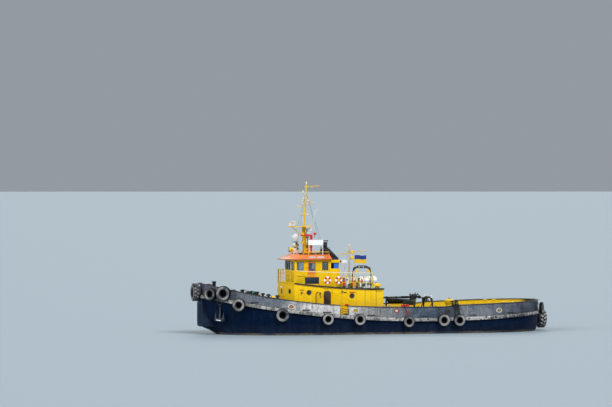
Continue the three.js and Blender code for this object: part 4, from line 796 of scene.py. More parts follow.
def link_mesh():
    """One long chain link."""
    loop = [(0.3 * cos(t), 0.5 * sin(t), 0) for t in (2 * pi * k / 10 for k in range(10))]
    return Fitting("link").tube(loop, 0.085, 5, closed=True).shape(80)


def hang_chain(name, spots):
    """Links at marked spots."""
    set_out(name, link_mesh(), spots, dark_chain, 80)


def chain_spots(start, end, size):
    """Marks for the links of one straight run of chain."""
    way = Vector(end) - Vector(start)
    count = max(2, round(way.length / (size * 0.72)))
    across = way.orthogonal().normalized()
    spots = []
    for k in range(count):
        out = Matrix.Rotation(pi / 2 * (k % 2), 3, way) @ across
        spots.append((Vector(start) + way * (k + 0.5) / count, facing(out, way), size))
    return spots


CAP_HUNG = {-2.17: [(-1.82, LINK)], -5.13: [(-4.52, LINK)], -6.45: [(-6.0, 0.26), (-6.2, 0.26), (-6.4, 0.26)]}
spots = []
for side in (1, -1):
    for (centre, out, size), (x, z, _) in zip(side_rows[side], SIDE_TYRES):
        for top_x, link_size in CAP_HUNG.get(x, []):
            edge, edge_out = on_bulwark(top_x, 2.0, side)
            high = top_of("bulwark_cap_aft", top_x, edge.y - 0.06 * side)
            over = Vector((top_x, edge.y, high)) + edge_out * 0.13
            spots += chain_spots(over - edge_out * 0.25, over, link_size)
            if link_size > LINK:
                spots += chain_spots(
                    over - edge_out * 0.13, over + Vector((0.08, 0, 0.3)) - edge_out * 0.18, link_size)
            spots += chain_spots(over, Vector((x, centre.y, z + size * 0.4)) + out * 0.08, link_size)
        for lean in (-0.22, 0.22):
            eye = Vector((x + lean * 1.6, centre.y, z + size * 0.58)) - out * 0.1
            spots += chain_spots(eye, centre + Vector((lean, 0, size * 0.36)) + out * 0.05, LINK * 0.8)
for y in (-0.34, 0.34):
    bow_cap, stern_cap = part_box("bulwark_cap_fore")[1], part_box("bulwark_cap_aft")
    spots += chain_spots((bow_cap.x - 0.12, y, bow_cap.z + 0.02), (stem_x - 0.1, y, STEM_TYRE[0] + 0.6), LINK)
    spots += chain_spots((stern_cap[0].x + 0.12, y, stern_cap[1].z + 0.02), (stern_x, y, STERN_TYRE[0] + 0.68), LINK)
hang_chain("fender_chains", spots)

# Strake blocks
# Rubber blocks on the quarters, packed side by side along the strake.
block_rubber = paint(
    "scuffed_block_rubber", (0.02, 0.022, 0.028), (0.42, 0.4, 0.38), rust=(0.006, 0.006, 0.009), grain=1.7,
    fading=0.9, streaks=0.5, chips=0.9, bump=0.02, mottle=3.4)
BLOCK_STEP = 0.355
spots = []
for side in (1, -1):
    x = -9.3
    while x > -13.9:
        point, out = on_strake(x, side)
        level = point.z + 0.13
        spots.append((Vector((x, point.y, level)) + out * 0.012, facing(out), 1))
        x -= BLOCK_STEP * max(0.3, abs(out.y))
block = Fitting("block", block_rubber).turned(
    [(0, 0), (0.5, 0), (0.5, 0.5), (0.34, 0.85), (0, 1)], Matrix.Diagonal((0.31, 0.25, 0.075, 1)), 14)
set_out("strake_blocks", block.shape(), spots, block_rubber)

# Bow pad
# A rubber facing bolted on the stem under the strake, with upright ribs.
pad_rubber = paint(
    "bow_pad_rubber", (0.005, 0.014, 0.034), (0.016, 0.032, 0.058), rust=(0.04, 0.05, 0.065), grain=1.5, fading=0.9,
    streaks=0.6, bump=0.02, shine=0.15)
skin("bow_fender_pad", pad_rubber, round_off=0.02)
rib_rubber = paint(
    "scuffed_rib_rubber", (0.02, 0.036, 0.062), (0.045, 0.065, 0.095), rust=(0.01, 0.015, 0.025), grain=1.2,
    fading=0.9, streaks=0.5, chips=0.3, shine=0.1, mottle=1.6)
part = Fitting("bow_pad_ribs", rib_rubber)
for k in range(9):
    y = -0.7 + 1.4 * k / 8
    line = []
    for step in range(12):
        z = 0.76 + 0.165 * step
        point, out = meet("bow_fender_pad", (20, y, z), ASTERN)
        if point is not None:
            line.append(point + out * 0.004)
    if len(line) > 3:
        part.tube(line, 0.042)
part.fix()

# Anchors
# Stockless cast anchors hung under their hawse pipes on the bow, with a ring and a few links of cable, and a pale rod
# along each crown's lower edge as a painted highlight.
anchor_iron = paint(
    "painted_anchor_iron", (0.002, 0.008, 0.022), (0.008, 0.016, 0.034), rust=(0.04, 0.045, 0.06), grain=4,
    fading=0.8, chips=0.3, bump=0.01)
for _, word in SIDES:
    skin(f"anchor_{word}", anchor_iron, round_off=0.02)
part = Fitting("hawse_rings", anchor_iron, pale_casting)
spots = []
for side, word in SIDES:
    low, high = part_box(f"anchor_{word}")
    middle = (low + high) / 2
    top = Vector((middle.x, middle.y, high.z + 0.06))
    point, out = on_side("hull", middle.x, high.z + 0.28, side)
    part.hoop(0.19, 0.055, at(point + out * 0.02, out))
    spots += chain_spots(point + out * 0.06, top, 0.2)
    # A pale rod along the crown's lower edge is a painted highlight.
    crown = Vector((middle.x, middle.y + 0.03 * side, low.z + 0.07))
    part.tube(
        [crown + Vector((-0.33, 0.05 * side, 0.03)), crown + Vector((0, 0.12 * side, -0.02)),
        crown + Vector((0.33, 0.02 * side, 0.03))], 0.045, 8, 1)
part.fix()
hang_chain("anchor_cable", spots)

# Zinc anodes
# Cast blocks welded below the waterline in rows along the hull.
zinc = paint("zinc_casting", (0.35, 0.35, 0.36), (0.25, 0.25, 0.25), grain=4, chips=0.4)
outline = [(-0.2, -0.05), (0.2, -0.05), (0.25, 0), (0.2, 0.05), (-0.2, 0.05), (-0.25, 0)]
anode = Fitting("anode", zinc).plate(outline, 0.05).shape()
spots = []
for side in (1, -1):
    for x in (-11.5, -8.5, -5, -1, 3, 7):
        for z in (-0.7, -1.5):
            point, out = meet("hull", (x, 9 * side, z), (0, -side, 0))
            if point is not None:
                spots.append((point, facing(out), 1))
set_out("zinc_anodes", anode, spots, zinc)

# Deckhouse
# A welded house on the main deck: seamed yellow plates with a dark foot band of painted shade, a dark door on each
# side, portholes, pipes and step lines at the gangway.
house_yellow = paint(
    "yellow_house_paint", YELLOW, YELLOW_FADED, rust=(0.3, 0.13, 0.03), grain=1.2, streaks=0.2, chips=0.1,
    spray=0.28, spray_band=(1.9, 2.9), shine=0.1, seams=(1.22, 20.0, (0.9, 0, -5), 0.42))
door_dark = paint("dark_door_paint", (0.035, 0.022, 0.016), (0.07, 0.05, 0.04), grain=3)
# Near black for the band along the house's foot and the aft door's surround: painted shade, which shows through the
# freeing ports.
painted_shade_dark = paint("dark_painted_shade", (0.03, 0.028, 0.026), (0.07, 0.06, 0.05), grain=2)
mast_yellow = paint("yellow_mast_paint", YELLOW, YELLOW_FADED, grain=3, fading=0.6, streaks=0.2, chips=0.2)
white_paint = paint("white_fitting_paint", (0.78, 0.78, 0.76), (0.66, 0.65, 0.61), grain=3, streaks=0.2, chips=0.12)
pipe_brown = paint("brown_pipe_paint", (0.16, 0.075, 0.022), (0.3, 0.17, 0.05), grain=4, chips=0.5)
signal_red = paint("signal_red_paint", (0.62, 0.018, 0.012), (0.58, 0.05, 0.035), grain=4, chips=0.2)
skin("deckhouse", house_yellow, round_off=0.03)
for _, word in SIDES:
    skin(f"deckhouse_door_{word}", door_dark, round_off=0.006)


def glass_paint(name, tint, roughness=0.05, clear=0.0):
    """Glass: a dark reflecting pane, or one that lets light through."""
    material, tree, shader = new_material(name)
    shader.inputs["Metallic"].default_value = 0.0
    shader.inputs["Transmission Weight"].default_value = clear
    shader.inputs["IOR"].default_value = 1.5
    smear_at = add_node(tree, "ShaderNodeTexCoord").outputs["Object"]
    smears = noise(tree, smear_at, 2.3, 5)
    share = spread(tree, smears, 0.35, 0.7)
    colour = blend_colours(tree, share, tint, tuple(min(1, c * 1.5 + 0.01) for c in tint))
    lay_on(tree, shader, colour, spread(tree, smears, 0.3, 0.75, roughness, roughness + 0.15))
    return material


port_glass = glass_paint("porthole_glass", (0.01, 0.014, 0.022))
lamp_glass = glass_paint("lamp_glass", (0.75, 0.77, 0.78), 0.12)
PORTHOLES = [(5.75, 3.37), (2.15, 3.08)]
FRONT_PORTS = [(1.95, 3.46), (-1.95, 3.46), (0.0, 3.4)]
PORT_RADIUS = 0.165
part = Fitting("portholes", rail_black, port_glass, house_yellow)
port_spots = [on_side("deckhouse", x, z, side) for side in (1, -1) for x, z in PORTHOLES]
port_spots += [meet("deckhouse", (9.5, y, z), ASTERN) for y, z in FRONT_PORTS]
port_spots += [meet("deckhouse", (-3, y, 3.0), AHEAD) for y in (1.5, -1.5)]
for point, out in port_spots:
    stand = at(point, out)
    part.hoop(PORT_RADIUS + 0.012, 0.024, stand, 28)
    part.turned(
        [(0, 0.002), (PORT_RADIUS, 0.002), (PORT_RADIUS, 0.01), (PORT_RADIUS * 0.5, 0.018), (0, 0.02)], stand, 28, 1)
    for x, y in circle(8, PORT_RADIUS + 0.05, 0.5):
        part.disc(0.014, 0.014, stand @ at((x, y, 0)), 6)
    rigol = [
        stand @ Vector((sin(t) * (PORT_RADIUS + 0.075), cos(t) * (PORT_RADIUS + 0.075), 0.02)) for t in
        (pi * (k / 8 - 0.5) * 0.9 for k in range(9))]
    part.tube(rigol, 0.012, 6, 2)
part.fix()

HOUSE_SIDE, FRONT_WALL, AFT_WALL = 2.8, 7.3, -0.5
part = Fitting(
    "house_fittings", house_yellow, rail_black, signal_red, white_paint, pipe_brown, painted_shade_dark, mast_yellow,
    lamp_glass)
for side in (1, -1):
    wall = HOUSE_SIDE * side

    def strip(x0, x1, z0, z1, thick=0.012, finish=1):
        part.box((x0, wall, z0), (x1, wall + thick * side, z1), finish)

    def wall_lamp(x, z):
        part.box((x - 0.05, wall, z - 0.02), (x + 0.05, wall + 0.05 * side, z + 0.06), 1)
        part.turned(
            [(0, 0), (0.055, 0), (0.06, 0.05), (0.045, 0.12), (0, 0.14)],
            at((x, wall + 0.1 * side, z + 0.02)) @ turned_by(180, "X"), 12, 4)

    # The first strip is the near-black band along the house's foot: painted shade.
    for row in (
            (-0.5, 6.9, 1.0, 1.62, 0.006, 5), (1.9, 2.36, 3.36, 3.42, 0.05, 2), (2.6, 2.86, 3.34, 3.4, 0.04, 1),
            (6.2, 6.52, 3.585, 3.615, 0.05, 1), (0.1, 0.125, 1.7, 3.55, 0.008), (1.035, 1.06, 1.7, 3.55, 0.008),
            (0.1, 1.06, 3.53, 3.555, 0.008), (-0.4, 0.1, 3.42, 3.44, 0.008)):
        strip(*row)
    part.tube(
        [(6.88, wall, 2.54), (4.6, wall, 2.39), (2.4, wall, 2.27), (0.9, wall, 2.18), (-0.45, wall, 2.14)], 0.018, 6,
        4)
    strip(3.86, 4.58, 3.735, 3.765, 0.06, 0)
    strip(3.86, 3.885, 1.85, 3.66, 0.03, 0)
    strip(4.555, 4.58, 1.85, 2.05, 0.03, 0)
    part.tube(
        [(5.17, wall + 0.05 * side, 2.2), (5.17, wall + 0.05 * side, 3.3), (5.12, wall + 0.05 * side, 3.38),
        (5.02, wall + 0.05 * side, 3.4), (4.99, wall, 3.4)], 0.032, 8, 4)
    for z in (2.5, 3.0):
        strip(5.12, 5.22, z, z + 0.03, 0.08, 1)
    foot = wall + 0.01 * side
    part.grip((4.8, foot, 3.3), (4.8, foot, 2.95), (0, 0.05 * side, 0), 0.018, 1)
    wall_lamp(4.83, 3.34)
    wall_lamp(2.98, 3.45)
    wall_lamp(6.36, 3.4)
    for x0, z0, x1, z1 in ((6.95, 2.62, 4.75, 2.36), (2.6, 2.3, 0.1, 2.2)):
        part.grip((x0 - 0.1, wall, z0), (x1, wall, z1), (0, 0.07 * side, 0), 0.017, 6)
    for k in range(4):
        part.bar((3.12, wall + 0.03 * side, 1.62 + 0.17 * k), (2.5, wall + 0.03 * side, 1.5 + 0.17 * k), 0.022, 6, 8)
    strip(2.46, 2.74, 2.33, 2.42, 0.09, 2)
    strip(2.4, 2.52, 2.2, 2.33, 0.07, 1)
    for x, z in ((6.55, 2.45), (6.2, 2.42), (5.75, 2.35), (5.35, 2.24), (4.75, 2.22)):
        strip(x - 0.05, x + 0.05, z - 0.06, z + 0.04, 0.09, 1 if x < 6.3 else 3)
# front: a handrail, a lamp, cable runs and a fire box; aft: a ladder to the boat deck and a closed door
for y in (-0.7, 0.7):
    part.box((FRONT_WALL, y - 0.03, 2.3), (7.335, y + 0.03, 3.9))
part.rung(FRONT_WALL, 7.37, 1.1, 3.05, 0.018, 6)
part.turned([(0, 0), (0.09, 0), (0.09, 0.05), (0.05, 0.1), (0, 0.1)], at((FRONT_WALL, 0.0, 3.75), AHEAD), 14, 7)
part.box((FRONT_WALL, 0.95, 2.55), (7.42, 1.15, 2.95))
for y in (-0.22, 0.22):
    part.bar((AFT_WALL - 0.14, y - 0.95, 1.35), (AFT_WALL - 0.14, y - 0.95, 3.62), 0.022, 6)
    for z in (1.6, 3.4):
        part.bar((AFT_WALL, y - 0.95, z), (AFT_WALL - 0.14, y - 0.95, z), 0.018, 6)
for k in range(8):
    part.bar((AFT_WALL - 0.14, -1.17, 1.5 + 0.27 * k), (AFT_WALL - 0.14, -0.73, 1.5 + 0.27 * k), 0.015, 6)
# A dark surround round the aft door is painted shade in its frame; the yellow leaf sits in front of it.
part.box((AFT_WALL - 0.035, 0.45, 1.62), (AFT_WALL, 1.1, 3.2), 5)
part.box((AFT_WALL - 0.075, 0.5, 1.67), (AFT_WALL - 0.035, 1.05, 3.15))
for z in (1.9, 2.9):
    part.bar((AFT_WALL - 0.09, 0.5, z), (AFT_WALL - 0.09, 0.72, z), 0.014, 1)
part.fix()


def boat_deck_side(face):
    spot = face.calc_center_median()
    if hypot(spot.x + 0.16, abs(spot.y) - 2.15) < 0.42 and spot.z > 3.72:
        return 3
    if face.normal.z > 0.8:
        return 1
    return 2 if abs(face.normal.y) > 0.8 and spot.x < 7 else 0


skin("boat_deck", house_yellow, deck_green, rail_black, mast_yellow, pick=boat_deck_side)

# Wheelhouse
# A plated steering house with framed windows, an orange door on each side and an orange roof with a brim.
# Inside are the console, the wheel and the helm seat, seen through the tinted panes.
roof_orange = paint(
    "faded_orange_paint", bands("X", [(3.4, (0.8, 0.165, 0.02)), (6.2, (0.8, 0.165, 0.02)),
    (7.1, (0.74, 0.36, 0.24)), (7.4, (0.7, 0.46, 0.36))], 0.2), (0.84, 0.27, 0.09), grain=1.6, fading=0.8,
    streaks=0.2, chips=0.14)
door_orange = paint("orange_door_paint", (0.74, 0.19, 0.012), (0.8, 0.3, 0.03), grain=1.6, fading=0.7, streaks=0.2)
wheel_yellow = paint(
    "yellow_wheelhouse_paint", YELLOW, YELLOW_FADED, rust=(0.3, 0.13, 0.03), grain=1.2, streaks=0.2, chips=0.08,
    shine=0.1)
cabin_grey = paint("cabin_grey_paint", (0.055, 0.06, 0.058), (0.09, 0.09, 0.085), grain=3, chips=0.1)


def wheelhouse_face(face):
    spot = face.calc_center_median()
    return int(abs(spot.y) < 1.56 and 3.63 < spot.x < 6.62 and 3.9 < spot.z < 5.96)


skin("wheelhouse", wheel_yellow, cabin_grey, pick=wheelhouse_face, round_off=0.02)
for _, word in SIDES:
    skin(f"wheelhouse_door_{word}", door_orange, round_off=0.006)
skin("wheelhouse_roof", roof_orange, round_off=0.02)
skin("aft_shelter", wheel_yellow, round_off=0.012)
window_glass = glass_paint("window_glass", (0.5, 0.58, 0.64), 0.03, 0.93)
screen_blue = paint("blue_panel_paint", (0.008, 0.13, 0.62), (0.03, 0.2, 0.66), grain=3, streaks=0.1, chips=0.1)
WINDOW_LOW, WINDOW_HIGH = 5.14, 5.82
PANE_DEPTH = 0.03
CABIN_SIDE = 1.6


def glaze(part, stand, half_wide, low, high, trim_wide=0.045):
    """A window in a wall: a raised frame (finish 0), a gasket (1) and a set-back pane (2)."""
    mid, half_high = (low + high) / 2, (high - low) / 2
    stand = stand @ at((0, mid - stand.translation.z, 0))
    for wide, deep_from, deep_to, finish, edge in ((trim_wide, 0.0, 0.013, 0, 0.0), (0.022, -0.03, 0.018, 1, -0.022)):
        inner_x, inner_y = half_wide + edge, half_high + edge
        outer_x, outer_y = inner_x + wide, inner_y + wide
        for x0, x1, y0, y1 in (
                (-outer_x, -inner_x, -outer_y, outer_y), (inner_x, outer_x, -outer_y, outer_y),
                (-inner_x, inner_x, inner_y, outer_y), (-inner_x, inner_x, -outer_y, -inner_y)):
            part.box((x0, y0, deep_from), (x1, y1, deep_to), finish, stand)
    part.box((-half_wide, -half_high, -PANE_DEPTH), (half_wide, half_high, -PANE_DEPTH + 0.008), 2, stand)


part = Fitting("wheelhouse_windows", wheel_yellow, rail_black, window_glass, white_paint)
for side in (1, -1):
    for x0, x1 in ((5.88, 6.43), (3.82, 4.33)):
        glaze(part, at(((x0 + x1) / 2, CABIN_SIDE * side, 5), (0, side, 0)), (x1 - x0) / 2, WINDOW_LOW, WINDOW_HIGH)
    glaze(part, at((6.68, 1.25 * side, 5), (0.981, 0.196 * side, 0)), 0.24, WINDOW_LOW, WINDOW_HIGH)
    glaze(part, at((3.58, 1.075 * side, 5), ASTERN), 0.275, WINDOW_LOW, WINDOW_HIGH)
    part.box((6.75, 0.83 * side, 5.0), (6.775, 0.9 * side, 5.9), 3)
for y in (-0.565, 0, 0.565):
    glaze(part, at((6.75, y, 5), AHEAD), 0.255, WINDOW_LOW, WINDOW_HIGH)
    part.bar((6.79, y, 5.86), (6.79, y - 0.12, 5.46), 0.008, 1, 6)
    part.box((6.77, y - 0.2, 5.3), (6.785, y - 0.185, 5.62), 1)
    part.box((6.75, y - 0.04, 5.84), (6.8, y + 0.04, 5.9), 1)
part.fix()
for side, word in SIDES:
    part = Fitting(f"wheelhouse_door_pane_{word}", door_orange, rail_black, window_glass)
    glaze(part, at((5.19, CABIN_SIDE * side, 5), (0, side, 0)), 0.26, 5.1, 5.74, 0.03)
    for z in (4.3, 4.95):
        part.box((4.92, CABIN_SIDE * side, z), (5.46, 1.612 * side, z + 0.02))
    part.fix(f"wheelhouse_door_{word}")

seat_black = paint("helm_seat_vinyl", (0.015, 0.015, 0.016), (0.03, 0.03, 0.03), grain=5, chips=0.1)
wood = paint("varnished_wood", (0.2, 0.08, 0.03), (0.26, 0.12, 0.05), grain=4, chips=0.1)
part = Fitting("wheelhouse_inside", cabin_grey, seat_black, wood, door_dark)
floor_z = top_of("boat_deck", 5.2, 0)
part.plate(
    [(5.95, floor_z), (6.62, floor_z), (6.62, 4.98), (6.4, 5.04), (5.95, 4.86)], 2.5,
    at((0, 1.25, 0)) @ turned_by(90, "X"))
for y in (-0.9, -0.45, 0.5, 0.95):
    part.box((6.0, y - 0.12, 4.88), (6.28, y + 0.12, 5.02), 3)
part.bar((5.95, 0, 4.7), (5.78, 0, 4.72), 0.03, 1)
wheel_at = at((5.76, 0, 4.72), (-1, 0, 0.1))
part.hoop(0.27, 0.018, wheel_at, 24, 2)
for x, y in circle(8, 0.36):
    part.bar(wheel_at @ Vector((0, 0, 0)), wheel_at @ Vector((x, y, 0)), 0.011, 2, 6)
part.bar((5.15, 0, floor_z), (5.15, 0, 4.62), 0.05)
part.box((4.92, -0.24, 4.62), (5.4, 0.24, 4.74), 1)
part.box((4.88, -0.24, 4.72), (4.97, 0.24, 5.3), 1)
part.box((3.7, -1.2, floor_z), (4.1, 0.6, 4.95), 2)
part.box((3.66, -1.3, 5.2), (3.7, -0.2, 5.7), 3)
part.fix()

blank_grey = paint("grey_blank_plate", (0.4, 0.42, 0.47), (0.62, 0.5, 0.42), grain=3, fading=0.7, chips=0.5)
part = Fitting(
    "roof_fittings", white_paint, mast_yellow, rail_black, lamp_glass, roof_orange, screen_blue, signal_red,
    blank_grey)
for x, half in ((5.18, 0.26), (4.45, 0.3)):
    point, out = meet("wheelhouse_roof", (x, 9, 6.19), (0, -1, 0))
    part.box((-half, -0.1, 0.0), (half, 0.1, 0.02), 7, at(point, out))
for side in (1, -1):
    line = [(5.85, 1.42 * side, 6.36), (5.85, 1.4 * side, 6.62), (3.7, 1.4 * side, 6.62), (3.7, 1.42 * side, 6.3)]
    part.tube(line, 0.022, 8, 1)
    part.bar((4.8, 1.4 * side, 6.3), (4.8, 1.4 * side, 6.62), 0.018, 1)
    # A black strip inside the rail along each side of the crown: partly a kick plate, partly painted shade under the
    # roof gear.
    part.box((3.7, 1.36 * side, 6.4), (6.2, 1.39 * side, 6.5), 2)
    lip_line = [(3.55, 1.835 * side, 6.02), (6.75, 1.835 * side, 6.02), (7.405, 1.0 * side, 6.02), (7.405, 0, 6.02)]
    part.tube(lip_line, 0.016, 6, 2)
    # floodlights on brackets from the canopy, and the blue side panels of the shelter
    part.bar((2.9, 1.5 * side, 5.86), (2.48, 1.5 * side, 5.86), 0.022, 1)
    part.box((2.26, 1.5 * side - 0.17, 5.72), (2.7, 1.5 * side + 0.17, 5.97))
    part.box((2.242, 1.5 * side - 0.14, 5.74), (2.265, 1.5 * side + 0.14, 5.95), 3)
    part.box((2.7, 1.5 * side - 0.06, 5.78), (2.78, 1.5 * side + 0.06, 5.92), 2)
    part.box((2.9, 1.545 * side, 5.28), (3.33, 1.565 * side, 5.745), 5)
    # a lantern and a grab rail under the brim, and a lifting eye at each corner of the crown
    part.box((6.5, CABIN_SIDE * side, 5.9), (6.62, 1.66 * side, 5.96), 2)
    wall = CABIN_SIDE * side
    part.grip((6.35, wall, 4.72), (5.65, wall, 4.7), (0, 0.06 * side, 0), 0.016, 1)
    for x in (3.8, 5.9):
        part.hoop(0.05, 0.014, at((x, 1.25 * side, 6.49)) @ turned_by(90, "X"), 12, 4)
# horn, a small lamp mast and the rod with its ball
part.turned(
    [(0, 0), (0.03, 0), (0.03, 0.22), (0.1, 0.42), (0.09, 0.42), (0.02, 0.24), (0, 0.24)],
    at((6.2, -0.62, 6.62)) @ turned_by(90, "Y"), 16)
part.bar((6.2, -0.62, 6.4), (6.2, -0.62, 6.64), 0.02)
part.bar((4.36, -0.6, 6.42), (4.36, -0.6, 7.98), 0.016)
part.turned([(0, -0.13), (0.09, -0.09), (0.13, 0), (0.09, 0.09), (0, 0.13)], at((4.36, -0.6, 8.06)), 16, 6)
part.disc(0.08, 0.05, at((4.36, -0.6, 7.88)), 12)
part.fix()

# Funnel and exhausts
# A black trunk behind the wheelhouse with louvres, rungs, and three open pipes with spark-arrester rims.
soot_black = paint(
    "sooty_black_paint", (0.01, 0.01, 0.011), (0.03, 0.029, 0.03), rust=(0.1, 0.09, 0.08), grain=2, fading=0.7,
    chips=0.3)
skin("funnel", soot_black, round_off=0.02)
skin("exhaust_pipes", soot_black)
part = Fitting("funnel_fittings", soot_black, pale_casting, mast_yellow)
for side in (1, -1):
    wall = 0.6 * side
    for k in range(9):
        slat = at((3.05, wall, 4.6 + 0.09 * k)) @ turned_by(-35 * side, "X")
        part.box((-0.26, -0.008, -0.035), (0.26, 0.008, 0.035), 0, slat)
    for x0, x1, z0, z1 in (
            (2.76, 2.8, 4.5, 5.4), (3.3, 3.34, 4.5, 5.4), (2.76, 3.34, 5.36, 5.4), (2.76, 3.34, 4.5, 4.54)):
        part.box((x0, wall - 0.015, z0), (x1, wall + 0.015, z1))
    part.grip((3.42, wall * 1.12, 6.62), (3.86, wall * 1.12, 6.62), (0, wall * 0.13, 0.33), 0.018)
    for k in range(3):
        part.bar((3.5 + 0.15 * k, wall * 0.98, 6.55), (3.5 + 0.15 * k, wall * 0.98, 6.75), 0.03)
    part.collar(0.118, 0.145, 0.05, at((3.64, 0.25 * side, 7.4)), 18, 1)
    part.collar(0.118, 0.135, 0.03, at((3.64, 0.25 * side, 7.05)), 18)
for k in range(9):
    z = 4.2 + 0.24 * k
    part.rung(2.67, 2.6, 0.15, z, 0.012, 2)
for y in (-0.14, 0.1):
    part.tube([(3.53, y * 0.6, 7.2), (3.5, y * 0.8, 7.42), (3.4, y, 7.55)], 0.022)
part.fix()

# Masts
# The main mast with its radar platform, yards, rungs, lanterns and stays, and the signal mast aft with two
# yellow lanterns.
skin("mast", mast_yellow)
skin("signal_mast", mast_yellow)
SIGNAL_MAST_X = 1.6
skin("radar_scanner", white_paint, round_off=0.02)
skin("whip_antenna", white_paint)
part = Fitting("mast_fittings", mast_yellow, white_paint, rail_black, lamp_glass)
for x0, x1, half, z in ((4.98, 5.56, 0.26, 6.62), (5.06, 5.48, 0.2, 6.86)):
    part.box((x0, -half, 6.42), (x1, half, z))
for x, z in ((5.58, 7.25), (5.6, 7.95), (4.95, 8.35)):
    part.box((x - 0.1, 0.06, z), (x + 0.1, 0.3, z + 0.22), 0 if z < 8 else 1)


def lantern(part, x, y, z, size=1.0, cap=2):
    """A navigation lantern: foot, lens and cap, standing up from z."""
    spot = at((x, y, z)) @ Matrix.Scale(size, 4)
    part.disc(0.07, 0.03, spot, 12, cap)
    part.turned([(0, 0.03), (0.055, 0.03), (0.065, 0.09), (0.055, 0.15), (0, 0.15)], spot, 14, 3)
    part.turned([(0, 0.15), (0.08, 0.15), (0.06, 0.19), (0, 0.2)], spot, 12, cap)


for x, y, z, size in (
        (5.23, 0, 12.15, 0.9), (5.93, 0, 10.28, 0.55), (4.66, 0, 10.56, 0.55), (5.3, 0.88, 10.71, 0.7),
        (5.3, -0.88, 10.71, 0.7), (5.4, 1.08, 9.61, 0.7), (5.4, -1.08, 9.61, 0.7), (4.75, 0, 11.8, 0.5)):
    lantern(part, x, y, z, size, 0)
for x, z in ((5.52, 11.45), (5.45, 10.9), (5.5, 10.45), (5.1, 10.75)):
    part.block(x, 0, 0.1, 0.1, z, z + 0.025)
    lantern(part, x, 0, z + 0.02, 0.8, 0)
for k in range(13):
    z = 8.95 + 0.24 * k
    x = 5.43 - 0.2 * (z - 8.65) / 3.5
    part.bar((x, -0.17, z), (x, 0.17, z), 0.012, sides=6)
# cable runs, junction boxes and brackets on the foot of the mast, and the longer arm of the signal yard
for side in (1, -1):
    y = 0.24 * side
    for shift in (-0.12, 0.02, 0.13):
        part.tube(
            [(5.05 + shift, y, 6.46), (5.12 + shift, y, 7.2), (5.26 + shift * 0.6, y * 0.9, 8.5)], 0.022, 6,
            2 if shift < 0.1 else 1)
    for x, z, wide, high_by, finish in (
            (5.0, 6.62, 0.2, 0.26, 1), (5.22, 6.95, 0.12, 0.2, 2), (5.1, 7.32, 0.18, 0.18, 0),
            (5.24, 7.72, 0.12, 0.22, 2), (5.16, 8.1, 0.14, 0.14, 1)):
        part.box((x - wide / 2, y * 0.8, z), (x + wide / 2, y * 1.3, z + high_by), finish)
part.bar((SIGNAL_MAST_X, 0, 6.4), (2.72, 0, 6.43), 0.02)
for k in range(9):
    z = 6.6 + 0.23 * k
    x = 5.03 + 0.27 * (z - 6.44) / 2.2
    part.rung(x, x - 0.07, 0.11, z, 0.012)
for foot in ((6.35, 0.75), (6.35, -0.75), (3.75, 0.45), (3.75, -0.45)):
    part.bar((5.27, 0, 11.5), (*foot, 6.4), 0.007, 2, 6)
    part.bar((*foot, 6.4), (*foot, 6.52), 0.02, 2, 6)
for z in (9.9, 8.9):
    part.hoop(0.1, 0.02, at((5.33 + 0.05 * (10 - z), 0, z)), 14)
for x, y in ((6.28, 0.28), (6.28, -0.28), (6.6, 0.28), (6.6, -0.28)):
    part.disc(0.03, 0.05, at((x, y, 8.69)), 6, 2)
part.turned([(0.245, 0.0), (0.265, 0.0), (0.265, 0.2), (0.245, 0.22), (0.245, 0.0)], at((6.44, 0, 8.7)), 24, 1)
for z in (5.95, 6.42):
    part.bar((SIGNAL_MAST_X, 0.0, z + 0.09), (1.38, 0.0, z + 0.09), 0.018)
    spot = at((1.36, 0, z)) @ Matrix.Scale(1.7, 4)
    part.turned([(0, 0), (0.075, 0), (0.085, 0.05), (0.075, 0.13), (0.04, 0.17), (0, 0.18)], spot, 14)
lantern(part, SIGNAL_MAST_X, 0, 7.06, 1.0, 0)
for z in (4.6, 5.1, 5.6):
    part.bar((SIGNAL_MAST_X, -0.13, z), (SIGNAL_MAST_X, 0.13, z), 0.012, sides=6)
part.box((1.53, -0.08, 5.3), (1.67, 0.08, 5.38))
for y in (-1.6, 1.6):
    part.bar((SIGNAL_MAST_X, 0, 6.9), (1.9, y, top_of("boat_deck", 1.9, y)), 0.006, 2, 6)
part.fix()

# Fire monitor and roof instruments
# A water cannon with flanges and handwheels on its riser, the compass binnacle with its iron spheres,
# the lamp in its yoke, the wind screen and the blank board.
monitor_red = paint("red_monitor_paint", (0.7, 0.014, 0.008), (0.66, 0.05, 0.03), grain=4, chips=0.15)
for node in ("monitor_riser", "monitor_head", "monitor_barrel"):
    skin(node, monitor_red)
MONITOR = Vector((5.12, 1.15, 7.95))
part = Fitting("monitor_riser_fittings", monitor_red, rail_black)
for z in (6.48, 7.05, 7.62):
    part.collar(0.082, 0.13, 0.03, at((MONITOR.x, MONITOR.y, z)), 20)
part.bar((MONITOR.x, MONITOR.y, 6.8), (MONITOR.x + 0.26, MONITOR.y, 6.8), 0.03)
part.hoop(0.11, 0.014, at((MONITOR.x + 0.26, MONITOR.y, 6.8), AHEAD), 20, 1)
part.fix()
part = Fitting("monitor_head_fittings", monitor_red, rail_black)
for side in (1, -1):
    part.disc(0.05, 0.03, at(MONITOR + Vector((0, 0.13 * side, 0)), (0, side, 0)), 16)
part.bar(MONITOR + Vector((-0.07, 0.11, -0.1)), MONITOR + Vector((-0.22, 0.11, -0.1)), 0.02)
part.hoop(0.068, 0.011, at(MONITOR + Vector((-0.22, 0.11, -0.1)), ASTERN), 20, 1)
part.fix("monitor_head")
part = Fitting("monitor_barrel_fittings", monitor_red, rail_black)
way = Vector((0.96, 0, 0.04)).normalized()
for step, reach in ((0.17, 0.085), (0.42, 0.09), (0.82, 0.075)):
    part.turned(
        [(0.05, -0.015), (reach, -0.015), (reach, 0.02), (0.05, 0.02), (0.05, -0.015)],
        at(MONITOR + way * step, way), 20)
